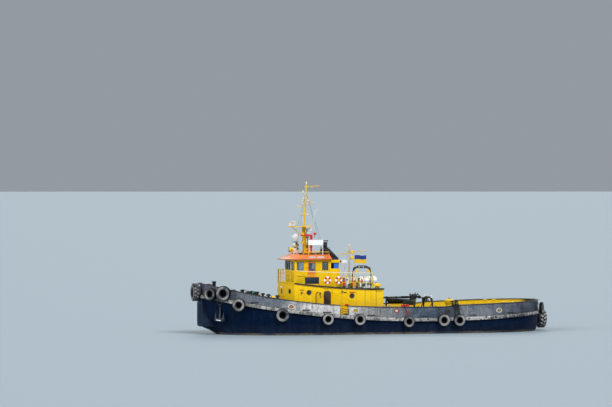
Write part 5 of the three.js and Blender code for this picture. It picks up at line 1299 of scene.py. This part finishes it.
part.disc(0.036, 0.004, at(MONITOR + way * 0.905, way), 16, 1)
part.bar(MONITOR + Vector((0.24, 0, 0.07)), MONITOR + Vector((-0.28, 0, 0.22)), 0.016)
part.fix("monitor_barrel")

skin("binnacle", white_paint)
BINNACLE_X = 6.15
part = Fitting("binnacle_fittings", white_paint, rail_black, lamp_glass, mast_yellow)
for side in (1, -1):
    part.bar((BINNACLE_X, 0.14 * side, 7.3), (BINNACLE_X, 0.3 * side, 7.3), 0.02, 1)
    part.turned(
        [(0, -0.1), (0.07, -0.07), (0.1, 0), (0.07, 0.07), (0, 0.1)], at((BINNACLE_X, 0.36 * side, 7.3)), 16, 1)
for z in (6.44, 6.98, 7.42):
    part.collar(0.12, 0.27, 0.03, at((BINNACLE_X, 0, z)), 20, 1)
for z, reach, high_by in ((6.5, 0.245, 0.46), (7.02, 0.235, 0.38)):
    part.turned(
        [(0.1, 0), (reach - 0.03, 0), (reach, 0.05), (reach - 0.02, high_by - 0.06), (0.12, high_by), (0.1, 0)],
        at((BINNACLE_X, 0, z)))
for x, y, z in ((6.02, 0.24, 6.8), (6.0, 0.22, 7.12)):
    part.block(x, y, 0.06, 0.05, z, z + 0.12, 1)
part.turned([(0, 0), (0.07, 0), (0.07, 0.03), (0, 0.04)], at((6.39, 0, 7.8), (1, 0, 0.1)), 16, 2)
part.hoop(0.3, 0.012, at((BINNACLE_X, 0, 7.15)), 20, 3)
part.bar((5.85, 0, 6.44), (5.85, 0, 7.15), 0.012, 3)
part.bar((BINNACLE_X, 0.3, 6.44), (BINNACLE_X, 0.3, 7.15), 0.012, 3)
part.fix()

skin("searchlight", mast_yellow)
part = Fitting("searchlight_fittings", mast_yellow, lamp_glass, rail_black)
LAMP = Vector((6.65, 0.6, 6.81))
part.collar(0.165, 0.195, 0.03, at(LAMP + Vector((0.185, 0, 0)), AHEAD), 24, 2)
part.turned([(0, 0), (0.165, 0), (0.12, 0.012), (0, 0.018)], at(LAMP + Vector((0.2, 0, 0)), AHEAD), 24, 1)
for side in (1, -1):
    part.tube(
        [LAMP + Vector((0, 0.05 * side, -0.15)), LAMP + Vector((0, 0.2 * side, -0.12)),
        LAMP + Vector((0, 0.2 * side, 0.04))], 0.016, 6)
    part.disc(0.035, 0.025, at(LAMP + Vector((0, 0.19 * side, 0)), (0, side, 0)), 10, 2)
for k in range(4):
    part.collar(0.17, 0.19, 0.012, at(LAMP + Vector((-0.15 + 0.05 * k, 0, 0)), AHEAD), 20)
part.fix("searchlight")

board_dark = paint(
    "dark_board_paint", (0.004, 0.009, 0.018), (0.02, 0.032, 0.05), grain=2, fading=0.8, chips=0.1, streaks=0.1)
bright_white = paint("bright_white_paint", (0.88, 0.88, 0.87), (0.8, 0.8, 0.78), grain=2, streaks=0.15, chips=0.05)


def screen_leg(face):
    spot = face.calc_center_median()
    return int(spot.z < 7.14 and spot.x > 4.9)


skin("blank_board", board_dark, round_off=0.008)
skin("wind_screen", bright_white, mast_yellow, pick=screen_leg)
part = Fitting("board_trim", rail_black, bright_white)
low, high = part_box("blank_board")
for x0, x1, z0, z1 in (
        (low.x, high.x, high.z - 0.05, high.z + 0.01), (low.x, high.x, low.z - 0.01, low.z + 0.06),
        (low.x - 0.01, low.x + 0.06, low.z, high.z), (high.x - 0.06, high.x + 0.01, low.z, high.z)):
    part.box((x0, high.y - 0.01, z0), (x1, high.y + 0.014, z1))
low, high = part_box("wind_screen")
for x in (low.x + 0.02, high.x - 0.02):
    part.box((x - 0.02, low.y - 0.008, 7.17), (x + 0.02, high.y + 0.008, 7.61), 1)
for x in (low.x + 0.03, high.x - 0.03):
    part.bar((x, low.y, 7.2), (x, low.y - 0.5, 6.42), 0.02)
part.fix()

# Boat deck
# Round-tube rails with a pale top rail, two lifebuoys, the life raft strapped in its cradle, the rope rack
# with its lamps, and lockers, extinguishers and a hose reel between them.
pale_rail = paint("pale_rail_paint", (0.8, 0.7, 0.42), (0.84, 0.78, 0.62), grain=5, chips=0.3)
RAIL_LEVELS = (0.35, 0.68, 1.0)


def rail_section(name, node, path, count_over, post, top_finish):
    """One length of railing: posts at even steps on a path, and rails at each level."""
    part = Fitting(name, mast_yellow, pale_rail)
    posts = []
    for (x0, y0), (x1, y1) in zip(path, path[1:]):
        count = max(1, round(hypot(x1 - x0, y1 - y0) / count_over))
        posts += [(x0 + (x1 - x0) * k / count, y0 + (y1 - y0) * k / count) for k in range(count)]
    posts.append(path[-1])
    feet = [top_of("boat_deck", x, copysign(min(abs(y), 2.82), y)) for x, y in posts]
    tops = [4.9 + 0.0045 * (x + 0.5) ** 2 for x, y in posts]
    for (x, y), foot, top in zip(posts, feet, tops):
        part.bar((x, y, foot - 0.02), (x, y, top), post, sides=10)
        part.disc(0.055, 0.015, at((x, y, foot)), 12)
    for level in RAIL_LEVELS:
        line = [(x, y, foot + (top - foot) * level) for (x, y), foot, top in zip(posts, feet, tops)]
        part.tube(line, 0.021 if level < 1 else 0.027, 8, top_finish if level == 1 else 0)
    part.fix(stands_for=(node,))


for side, word in SIDES:
    rail_section(
        f"side_rail_{word}", f"boat_deck_railing_{word}", [(6.84, 2.83 * side), (0.45, 2.83 * side)], 1.5, 0.026, 1)
rail_section(
    "front_rail", "boat_deck_railing_front", [(6.925, 2.78), (7.3, 1.2), (7.3, -1.2), (6.925, -2.78)], 0.85, 0.036, 0)

part = Fitting("lifebuoys", bright_white, signal_red, mast_yellow)
for side in (1, -1):
    for x in (4.23, 3.3):
        stand = at((x, 2.93 * side, 4.36), (0, side, 0))
        before = set(part.work.faces)
        part.turned(ring_profile(0.225, 0.085, 10), stand @ Matrix.Diagonal((1, 1, 0.7, 1)), 32)
        for face in set(part.work.faces) - before:
            spot = stand.inverted() @ face.calc_center_median()
            turn = (degrees(atan2(spot.y, spot.x)) - 45) % 90
            face.material_index = int(min(turn, 90 - turn) < 17)
        part.grip((x - 0.2, 2.86 * side, 4.2), (x + 0.2, 2.86 * side, 4.2), (0, 0.06 * side, -0.12), 0.012, 2)
part.fix()

raft_white = paint("raft_shell_white", (0.88, 0.88, 0.86), (0.8, 0.79, 0.75), grain=2, streaks=0.15, chips=0.05)
skin("raft_cradle", bright_white)
skin("liferaft", raft_white, round_off=0.02)
part = Fitting("raft_fittings", raft_white, rail_black)
raft_low, raft_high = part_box("liferaft")
raft_mid = (raft_low + raft_high) / 2
raft_reach = (raft_high.z - raft_low.z) / 2
part.box(
    (raft_low.x + 0.05, raft_mid.y - raft_reach - 0.025, raft_mid.z - 0.02),
    (raft_high.x - 0.05, raft_mid.y + raft_reach + 0.025, raft_mid.z + 0.02))
for shift in (-0.52, -0.26, 0.0, 0.26, 0.52):
    part.band(
        raft_reach - 0.01, raft_reach + 0.018, 0.035, 0.02, at((raft_mid.x + shift, raft_mid.y, raft_mid.z), AHEAD),
        28)
for shift in (-0.39, 0.39):
    part.band(
        raft_reach - 0.01, raft_reach + 0.012, 0.02, 0.02, at((raft_mid.x + shift, raft_mid.y, raft_mid.z), AHEAD),
        28, 1)
part.fix()
skin("rope_rack", rail_black)
part = Fitting("rope_rack_sleeve", rail_black, pale_casting)
part.tube(
    [(1.66, 1.5, 5.1), (1.58, 1.5, 5.26), (1.42, 1.5, 5.345), (1.0, 1.5, 5.36), (0.5, 1.5, 5.345), (0.34, 1.5, 5.26),
    (0.26, 1.5, 5.1)], 0.075, 10)
for k in range(7):
    part.band(0.072, 0.084, 0.03, 0.02, at((1.32 - 0.12 * k, 1.5, 5.352), AHEAD), 14, k % 3 == 1)
part.fix()

part = Fitting("boat_deck_fittings", bright_white, signal_red, mast_yellow, rail_black)


def deck_z(x, y):
    """The boat deck's height at one place."""
    return top_of("boat_deck", x, y)


def extinguisher(x, y):
    """A fire extinguisher in its holder on the boat deck."""
    foot = at((x, y, deck_z(x, y) + 0.12))
    part.turned([(0, 0), (0.075, 0), (0.08, 0.03), (0.08, 0.4), (0.03, 0.5), (0.03, 0.55), (0, 0.55)], foot, 14, 1)
    part.tube([foot @ Vector((x, 0, z)) for x, z in ((0.02, 0.52), (0.1, 0.5), (0.1, 0.25))], 0.012, 6, 3)
    part.box(foot @ Vector((-0.09, -0.1, -0.12)), foot @ Vector((0.09, 0.1, 0.0)), 3)


for x0, x1, y0, y1, high_by, finish in (
        (2.32, 2.6, 1.9, 2.5, 0.8, 0), (1.95, 2.25, 1.7, 2.4, 0.34, 2), (1.78, 1.92, 2.2, 2.5, 0.62, 0),
        (2.05, 2.6, -2.4, -1.6, 0.55, 0), (0.7, 1.5, -2.3, -1.7, 0.45, 2)):
    foot = deck_z((x0 + x1) / 2, (y0 + y1) / 2)
    part.box((x0, y0, foot), (x1, y1, foot + high_by), finish)
    part.box((x0 - 0.02, y0 - 0.02, foot + high_by), (x1 + 0.02, y1 + 0.02, foot + high_by + 0.03), finish)
    part.box(
        ((x0 + x1) / 2 - 0.05, y1 - 0.01, foot + high_by * 0.75), ((x0 + x1) / 2 + 0.05, y1 + 0.03,
        foot + high_by * 0.85), 3)
for x, y in ((2.72, 2.45), (2.02, 2.6), (2.7, -2.4)):
    extinguisher(x, y)
reel_at = at((1.62, 2.35, deck_z(1.62, 2.35) + 0.42), (0, 1, 0))
part.turned(
    [(0.12, -0.18), (0.33, -0.18), (0.33, -0.15), (0.16, -0.15), (0.16, 0.15), (0.33, 0.15), (0.33, 0.18),
    (0.12, 0.18), (0.12, -0.18)], reel_at, 24, 2)
part.hoop(0.235, 0.07, reel_at, 24, 3)
for shift in (-0.09, 0.09):
    part.hoop(0.235, 0.06, reel_at @ at((0, 0, shift)), 24, 3)
foot = deck_z(1.6, 2.3)
for y in (2.14, 2.52):
    part.box((1.58, y, foot), (1.66, y + 0.04, foot + 0.5), 3)
for x in (1.35, 0.42):
    part.bar((x, 1.5, 5.38), (x, 1.5, 5.12), 0.015, 2)
    part.turned([(0, 0), (0.12, 0), (0.13, 0.12), (0.07, 0.2), (0, 0.22)], at((x, 1.5, 4.94)), 16, 2)
for k in range(3):
    x = 1.15 + 0.16 * k
    part.bar((x, 2.2, deck_z(x, 2.2)), (x, 2.2, deck_z(x, 2.2) + 0.75 - 0.1 * k), 0.035, (3, 2, 0)[k])
for x, y, z, wide, high_by, finish in (
        (2.66, 2.2, 0.55, 0.1, 0.26, 3), (2.55, 2.55, 0.85, 0.12, 0.14, 2), (2.12, 2.5, 0.36, 0.1, 0.3, 0),
        (1.98, 2.3, 0.4, 0.14, 0.16, 3), (1.9, 2.55, 0.66, 0.12, 0.12, 0), (1.7, 2.6, 0.52, 0.1, 0.22, 0),
        (1.5, 2.6, 0.72, 0.12, 0.14, 3), (1.36, 2.55, 0.1, 0.12, 0.34, 0), (1.24, 2.6, 0.52, 0.1, 0.18, 1),
        (2.34, 2.62, 0.1, 0.14, 0.2, 3), (2.1, 2.62, 0.08, 0.1, 0.22, 1), (1.1, 2.6, 0.12, 0.14, 0.26, 3)):
    foot = deck_z(x, 2.4)
    part.bar((x, y, foot), (x, y, foot + z), 0.014, 3, 6)
    part.block(x, y, wide / 2, 0.05, foot + z, foot + z + high_by, finish)
for y in (2.05, -2.05):
    foot = deck_z(1.05, y)
    part.tube(
        [(0.75, y, foot), (0.75, y, foot + 0.55), (0.86, y, foot + 0.68), (1.0, y, foot + 0.55),
        (1.0, y, foot + 0.42)], 0.05, 10)
part.turned(
    [(0, 0), (0.18, 0), (0.18, 0.5), (0.3, 0.55), (0.3, 0.66), (0.1, 0.76), (0, 0.76)],
    at((2.0, -0.9, deck_z(2, -0.9))), 20, 2)
for shift in (-0.25, 0.25):
    part.bar((AFT_WALL - 0.14, -0.95 + shift, 3.6), (AFT_WALL - 0.14, -0.95 + shift, 4.5), 0.02, 2)
    part.bar((AFT_WALL - 0.14, -0.95 + shift, 4.5), (AFT_WALL + 0.45, -0.95 + shift, 4.5), 0.02, 2)
    part.bar((AFT_WALL + 0.45, -0.95 + shift, 3.7), (AFT_WALL + 0.45, -0.95 + shift, 4.5), 0.02, 2)
part.fix()

# Bulwark fittings
# Weld beads at the plate edges outside, black plates set into the freeing ports as painted shade, gate edges, and the
# red hose box and beige gooseneck pipes inside the after bulwark.
PORT_SHADE_INSET = 0.055
beige_paint = paint("beige_pipe_paint", (0.5, 0.36, 0.12), (0.56, 0.46, 0.24), grain=4, chips=0.5)
part = Fitting("bulwark_fittings", rail_black, signal_red, beige_paint, pale_casting)
for side in (1, -1):
    for x, half in (
            (8.75, 0.05), (7.05, 0.02), (5.9, 0.02), (3.56, 0.03), (2.78, 0.03), (-0.75, 0.02), (-2.95, 0.025),
            (-4.75, 0.03), (-7.2, 0.02)):
        for z in (1.75, 2.0, 2.25):
            wall, out = on_bulwark(x, z, side)
            if wall is not None:
                stand = at(wall, out)
                part.box(
                    (-half * 0.5, -0.13, -0.01), (half * 0.5, 0.13, 0.012), 0 if x in (-4.75, -2.95, 2.78) else 3,
                    stand)
    for x in (-1.86, -2.2):
        part.box((x - 0.14, 3.72 * side, 1.45), (x + 0.14, 3.92 * side, 2.33), 1)
    part.box((-2.36, 3.7 * side, 2.31), (-1.7, 3.94 * side, 2.37), 1)
    for x in (-0.15, -0.62):
        y = 3.45 * side
        part.tube(
            [(x, y, 1.3), (x, y, 2.18), (x - 0.05, y, 2.3), (x - 0.16, y, 2.34), (x - 0.27, y, 2.3),
            (x - 0.31, y, 2.14)], 0.062, 12, 2)
        part.disc(0.08, 0.05, at((x - 0.31, y, 2.08)), 14, 2)
    for x in (3.5, 2.84):
        edge, _ = on_bulwark(x + (0.08 if x > 3 else -0.08), 1.9, side)
        part.bar((x, edge.y - 0.03 * side, 1.45), (x, edge.y - 0.03 * side, 2.06), 0.03)
    # Black plates set just inside the freeing ports: painted shade for the dark seen through them.
    for x in (10.4, 6.3, 4.6, 0.9, -3.6, -7.7, -11.0):
        wall, out = on_bulwark(x, deck_level(x) + 0.3, side)
        part.box((-0.37, -0.28, -PORT_SHADE_INSET), (0.37, -0.1, -PORT_SHADE_INSET + 0.02), 0, at(wall, out))
    edge, edge_out = on_bulwark(-6.1, 2.0, side)
    horn = Vector((-6.1, edge.y, top_of("bulwark_cap_aft", -6.1, edge.y - 0.06 * side))) - edge_out * 0.11
    for shift in (-0.16, 0.16):
        part.bar(horn + Vector((shift, 0, -0.02)), horn + Vector((shift, 0, 0.36)), 0.045)
    part.bar(horn + Vector((-0.34, 0, 0.3)), horn + Vector((0.34, 0, 0.3)), 0.05)
part.fix()

# Deck gear
# Windlass with its gear, brakes and cable, rimmed bitts, the towing hook on its arm and arc, the arch,
# and a capstan with whelps.
gear_green = paint("green_gear_paint", (0.02, 0.2, 0.12), (0.05, 0.27, 0.18), grain=3, chips=0.3)
arc_green = paint("dark_green_gear_paint", (0.003, 0.014, 0.011), (0.014, 0.032, 0.027), grain=3, chips=0.3)
skin("windlass_frame", gear_green, round_off=0.01)
skin("towing_arc", arc_green)
for node in (
        "windlass_drum", "bollards_fore_port", "bollards_fore_starboard", "bow_post", "tow_pivot_post", "tow_hook",
        "towing_arch", "capstan_base"):
    skin(node, gear_black)
for node in ("capstan_drum", "bollards_aft_port", "bollards_aft_starboard"):
    skin(node, mast_yellow)

WINDLASS = Vector((9.7, 0, 3.11))
BOW_POST_X, TOW_POST_X, ARCH_X, CAPSTAN_X = 12.95, -0.95, -5.15, -7.0
ARCH_LEG_Y = 1.2
part = Fitting("windlass_fittings", gear_green, gear_black)
for side in (1, -1):
    y = 0.58 * side
    part.collar(0.09, 0.15, 0.07, at((WINDLASS.x, 0.62 * side, WINDLASS.z), (0, side, 0)), 20)
    part.bar((9.95, 0.35 * side, 2.5), (10.15, 0.35 * side, 3.42), 0.022, 1)
    part.hoop(0.16, 0.018, at((10.15, 0.35 * side, 3.44)), 20, 1)
    part.box((9.36, y - 0.06, 2.5), (10.04, y + 0.06, 2.56))
    for x in (9.42, 9.98):
        part.disc(0.035, 0.04, at((x, y, 2.56)), 6, 1)
part.box((9.28, -0.28, 2.4), (9.55, 0.28, 2.95))
part.turned([(0, 0), (0.13, 0), (0.13, 0.42), (0.11, 0.46), (0, 0.46)], at((9.05, 0, 2.75), AHEAD), 18)
part.fix()
part = Fitting("windlass_drum_fittings", gear_black)
for side in (1, -1):
    for y, reach, thick in ((0.18, 0.34, 0.03), (0.48, 0.34, 0.03), (0.68, 0.24, 0.03), (1.13, 0.22, 0.03)):
        part.collar(0.06, reach, thick, at(WINDLASS + Vector((0, (y - thick / 2) * side, 0)), (0, side, 0)), 28)
    for k in range(5):
        t = 2 * pi * k / 5
        spot = WINDLASS + Vector((0.27 * cos(t), 0.33 * side, 0.27 * sin(t)))
        part.box((-0.03, -0.08, -0.05), (0.03, 0.08, 0.05), 0, at(spot) @ Matrix.Rotation(-t, 4, "Y"))
part.fix("windlass_drum")
spots = []
for side in (1, -1):
    lead = Vector((10.13, 0.33 * side, 3.32))
    spots += chain_spots(lead, (10.9, 0.5 * side, deck_level(10.9) + 0.2), 0.2)
    spots += chain_spots((10.9, 0.5 * side, deck_level(10.9) + 0.2), (12.3, 0.95 * side, deck_level(12.3) + 0.1), 0.2)
hang_chain("deck_cable", spots)

part = Fitting("bitt_fittings", gear_black, locker_yellow)
for node in ("bollards_fore_port", "bollards_fore_starboard", "bollards_aft_port", "bollards_aft_starboard"):
    low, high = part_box(node)
    mid = (low + high) / 2
    shade_of = int(mid.x < 0)
    for shift in (-0.38, 0.38):
        x = mid.x + shift
        part.turned(
            [(0.14, 0), (0.192, 0), (0.2, 0.02), (0.192, 0.04), (0.14, 0.04), (0.14, 0)],
            at((x, mid.y, high.z - 0.05)), 24, shade_of)
        part.turned([(0, 0), (0.12, 0), (0.1, 0.02), (0, 0.025)], at((x, mid.y, high.z)), 20, shade_of)
        part.bar((x - 0.24, mid.y, high.z - 0.45), (x + 0.24, mid.y, high.z - 0.45), 0.03, shade_of)
        for turn in range(4):
            part.turned(
                [(0.148, 0), (0.165, 0.012), (0.148, 0.024), (0.148, 0)], at((x, mid.y, low.z + 0.45 + 0.03 * turn)),
                20)
post_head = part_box("bow_post")[1].z
part.turned(
    [(0.14, 0), (0.185, 0), (0.19, 0.02), (0.185, 0.04), (0.14, 0.04), (0.14, 0)],
    at((BOW_POST_X, 0, post_head - 0.06)))
for side in (1, -1):
    part.disc(0.065, 0.03, at((BOW_POST_X, 0.37 * side, 4.01), (0, side, 0)), 12)
part.fix()

part = Fitting("towing_arc_skirt", arc_green)
ARC_STEPS, ARC_HALF = 20, radians(60)
for k in range(ARC_STEPS):
    corners = []
    for reach, n in ((2.96, k), (2.99, k), (2.99, k + 1), (2.96, k + 1)):
        t = ARC_HALF * (2 * n / ARC_STEPS - 1)
        corners.append((TOW_POST_X - reach * cos(t), reach * sin(t)))
    part.plate(corners, 0.16, at((0, 0, 2.24)))
part.fix()

part = Fitting("tow_hook_fittings", gear_black)
for side in (1, -1):
    part.box((-4.12, 0.115 * side - 0.02, 2.62), (-3.6, 0.115 * side + 0.02, 2.98))
    for k in range(9):
        part.turned(ring_profile(0.055, 0.012, 6), at((-3.3 + 0.05 * k, 0.17 * side, 2.86), AHEAD), 14)
    part.bar((-3.36, 0.17 * side, 2.86), (-2.84, 0.17 * side, 2.86), 0.02)
    part.bar((-1.1, 0.06 * side, 2.86), (-3.6, 0.06 * side, 2.88), 0.022)
for foot_x, top_x, top_z, thick in (
        (-3.66, -3.6, 3.2, 0.05), (-3.8, -3.84, 3.12, 0.06), (-4.0, -4.02, 3.1, 0.05), (-4.14, -4.3, 3.2, 0.05)):
    part.bar((foot_x, 0, 2.9), (top_x, 0, top_z), thick, 0, 8, 0.02)
part.bar((-3.52, 0, 3.03), (-4.36, 0, 3.03), 0.035)
part.bar((-3.3, 0, 2.88), (-4.5, 0, 2.9), 0.045)
part.tube([(-3.95, -0.16, 3.05), (-3.95, 0.16, 3.05)], 0.035, 10)
for x in (-1.6, -2.4):
    part.block(x, 0, 0.03, 0.1, 2.7, 2.92)
part.hoop(0.1, 0.045, at((-4.4, 0, 2.84), (0, 1, 0)))
part.fix("tow_hook")

part = Fitting("towing_arch_fittings", gear_black, mast_yellow, bright_white, lamp_glass)
part.bar((ARCH_X, -0.75, 2.83), (ARCH_X, 0.75, 2.83), 0.06, sides=16)
for side in (1, -1):
    part.bar((ARCH_X, ARCH_LEG_Y * side, 2.2), (ARCH_X, 0.75 * side, 2.68), 0.035)
    part.bar((ARCH_X, ARCH_LEG_Y * side, 2.4), (-4.55, ARCH_LEG_Y * side, deck_level(-4.55)), 0.035)
    y, foot = ARCH_LEG_Y * side, deck_level(ARCH_X)
    part.box((-5.28, y - 0.15, foot - 0.01), (-5.02, y + 0.15, foot + 0.03))
    lantern(part, ARCH_X, 0.9 * side, 2.8, 0.9, 2)
for z in (1.7, 1.95, 2.2, 2.45):
    part.bar((ARCH_X, 1.08, z), (ARCH_X, 1.32, z), 0.014, 1, 6)
part.fix()

part = Fitting("tow_post_fittings", gear_black)
foot = deck_level(TOW_POST_X)
part.disc(0.34, 0.03, at((TOW_POST_X, 0, foot)))
for x, y in circle(8, 0.27):
    part.disc(0.03, 0.03, at((TOW_POST_X + x, y, foot + 0.03)), 6)
part.turned(
    [(0.062, 0), (0.1, 0), (0.1, 0.03), (0, 0.03), (0, 0.02), (0.062, 0.02), (0.062, 0)], at((TOW_POST_X, 0, 2.905)),
    20)
part.fix()

part = Fitting("capstan_whelps", mast_yellow, gear_black)
capstan_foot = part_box("capstan_drum")[0].z
for k in range(8):
    turn = at((CAPSTAN_X, 0, capstan_foot)) @ Matrix.Rotation(pi * k / 4, 4, "Z")
    whelp = ((0.4, 0.12), (0.275, 0.3), (0.275, 0.74), (0.42, 0.92))
    part.tube([turn @ Vector((x, 0, z)) for x, z in whelp], 0.035)
    part.box((0.28, -0.05, 1.1), (0.36, 0.05, 1.13), 1, turn)
part.turned([(0, 1.205), (0.1, 1.205), (0.08, 1.26), (0, 1.27)], at((CAPSTAN_X, 0, capstan_foot)), 20, 1)
part.fix("capstan_drum")

# After deck fittings
# Pale vent pipes, a chest, deck rings, hatch dogs and handles set along the after deck and the foredeck.
part = Fitting("deck_fittings", locker_yellow, gear_black, beige_paint, gear_green)
for side in (1, -1):
    for x, y in ((-8.4, 3.2), (-4.2, 3.3), (1.6, 3.5), (10.9, 1.7)):
        foot = deck_level(x)
        part.tube(
            [(x, y * side, foot - 0.02), (x, y * side, foot + 0.5), (x - 0.06, y * side, foot + 0.62),
            (x - 0.18, y * side, foot + 0.66), (x - 0.28, y * side, foot + 0.58), (x - 0.3, y * side, foot + 0.46)],
            0.055, 10, 2)
    for x in (-9.2, -12.2, 6.9):
        foot = deck_level(x)
        part.hoop(0.09, 0.02, at((x, 1.3 * side, foot + 0.025)), 16, 1)
        part.block(x, 1.3 * side, 0.1, 0.04, foot, foot + 0.02, 1)
for x0, x1, half in ((11.35, 12.05, 0.4), (-13.1, -12.4, 0.45)):
    top = top_of("hull", (x0 + x1) / 2, 0)
    part.turned([(0, 0), (0.16, 0), (0.14, 0.03), (0, 0.04)], at(((x0 + x1) / 2, 0, top)), 24, 3)
    for x in (x0 + 0.1, x1 - 0.1):
        for y in (-half, half):
            part.block(x, y, 0.03, 0.05, top - 0.06, top + 0.02, 1)
    part.grip((x0 + 0.1, -0.08, top), (x0 + 0.1, 0.08, top), (0, 0, 0.06), 0.012, 1)
part.box((-8.9, -0.5, deck_level(-8.9) - 0.02), (-8.3, 0.5, deck_level(-8.9) + 0.55))
part.box((-8.93, -0.53, deck_level(-8.9) + 0.55), (-8.27, 0.53, deck_level(-8.9) + 0.6))
part.fix()

# Ensign
# A bicolour of woven cloth, blue over yellow, that waves from the halyard of the signal mast.
cloth_low, cloth_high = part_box("ensign")
FLAG_COLUMNS, FLAG_ROWS = 48, 24
FLAG_WAVE, FLAG_TURNS, FLAG_LIFT = 0.045, 1.25, 0.035


def flag_cloth():
    """A plain weave, yellow below and blue above."""
    material, tree, shader = new_material("flag_cloth")
    shader.inputs["Sheen Weight"].default_value = 0.3
    uv = add_node(tree, "ShaderNodeTexCoord").outputs["UV"]
    v = add_node(tree, "ShaderNodeSeparateXYZ", {0: uv}).outputs["Y"]
    half = spread(tree, v, 0.498, 0.502)
    colour = blend_colours(tree, half, (0.8, 0.5, 0.01), (0.006, 0.03, 0.22))
    thread = add_node(tree, "ShaderNodeTexBrick", {"Vector": uv, "Scale": 90})
    roughness = spread(tree, thread.outputs["Fac"], 0, 1, 0.85, 0.95)
    lay_on(tree, shader, colour, roughness, thread.outputs["Fac"], 0.002)
    return material


flag_mesh = bpy.data.meshes.new("ensign_cloth")
verts, faces, coords = [], [], []
for i in range(FLAG_COLUMNS + 1):
    for k in range(FLAG_ROWS + 1):
        u, v = i / FLAG_COLUMNS, k / FLAG_ROWS
        x = cloth_high.x + (cloth_low.x - cloth_high.x) * u
        z = cloth_low.z + (cloth_high.z - cloth_low.z) * v
        lift = FLAG_LIFT * sin(pi * u) * sin(2 * pi * (0.9 * u + 0.1))
        verts.append((x, FLAG_WAVE * u * sin(2 * pi * FLAG_TURNS * u), z + lift))
        coords.append((u, v))
for i in range(FLAG_COLUMNS):
    for k in range(FLAG_ROWS):
        a = i * (FLAG_ROWS + 1) + k
        faces.append((a, a + 1, a + FLAG_ROWS + 2, a + FLAG_ROWS + 1))
flag_mesh.from_pydata(verts, [], faces)
flag_uv = flag_mesh.uv_layers.new(name="cloth")
for loop in flag_mesh.loops:
    flag_uv.data[loop.index].uv = coords[loop.vertex_index]
flag_mesh.materials.append(flag_cloth())
flag_mesh.shade_smooth()
flag = hand_over(place("ensign_cloth", flag_mesh), "ship", ("ensign",))

# Screws and steering nozzles
# Cast bronze propellers on their shafts, inside turning nozzles.
bronze, bronze_tree, bronze_shader = new_material("cast_bronze")
bronze_shader.inputs["Metallic"].default_value = 0.85
bronze_grain = noise(bronze_tree, add_node(bronze_tree, "ShaderNodeTexCoord").outputs["Object"], 6, 6)
bronze_colour = blend_colours(
    bronze_tree, spread(bronze_tree, bronze_grain, 0.4, 0.65), (0.45, 0.27, 0.09), (0.2, 0.17, 0.09))
lay_on(bronze_tree, bronze_shader, bronze_colour, spread(bronze_tree, bronze_grain, 0.35, 0.7, 0.3, 0.6))
SHAFT_Y, SHAFT_Z = 1.9, -1.95
for side, word in SIDES:
    skin(f"propeller_{word}", bronze)
    skin(f"steering_nozzle_{word}", hull_paint)
    part = Fitting(f"propeller_boss_{word}", bronze)
    low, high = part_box(f"propeller_{word}")
    for y, z in circle(6, 0.08):
        part.disc(0.022, 0.02, at((low.x + 0.02, SHAFT_Y * side + y, SHAFT_Z + z), ASTERN), 6)
    part.fix(f"propeller_{word}")
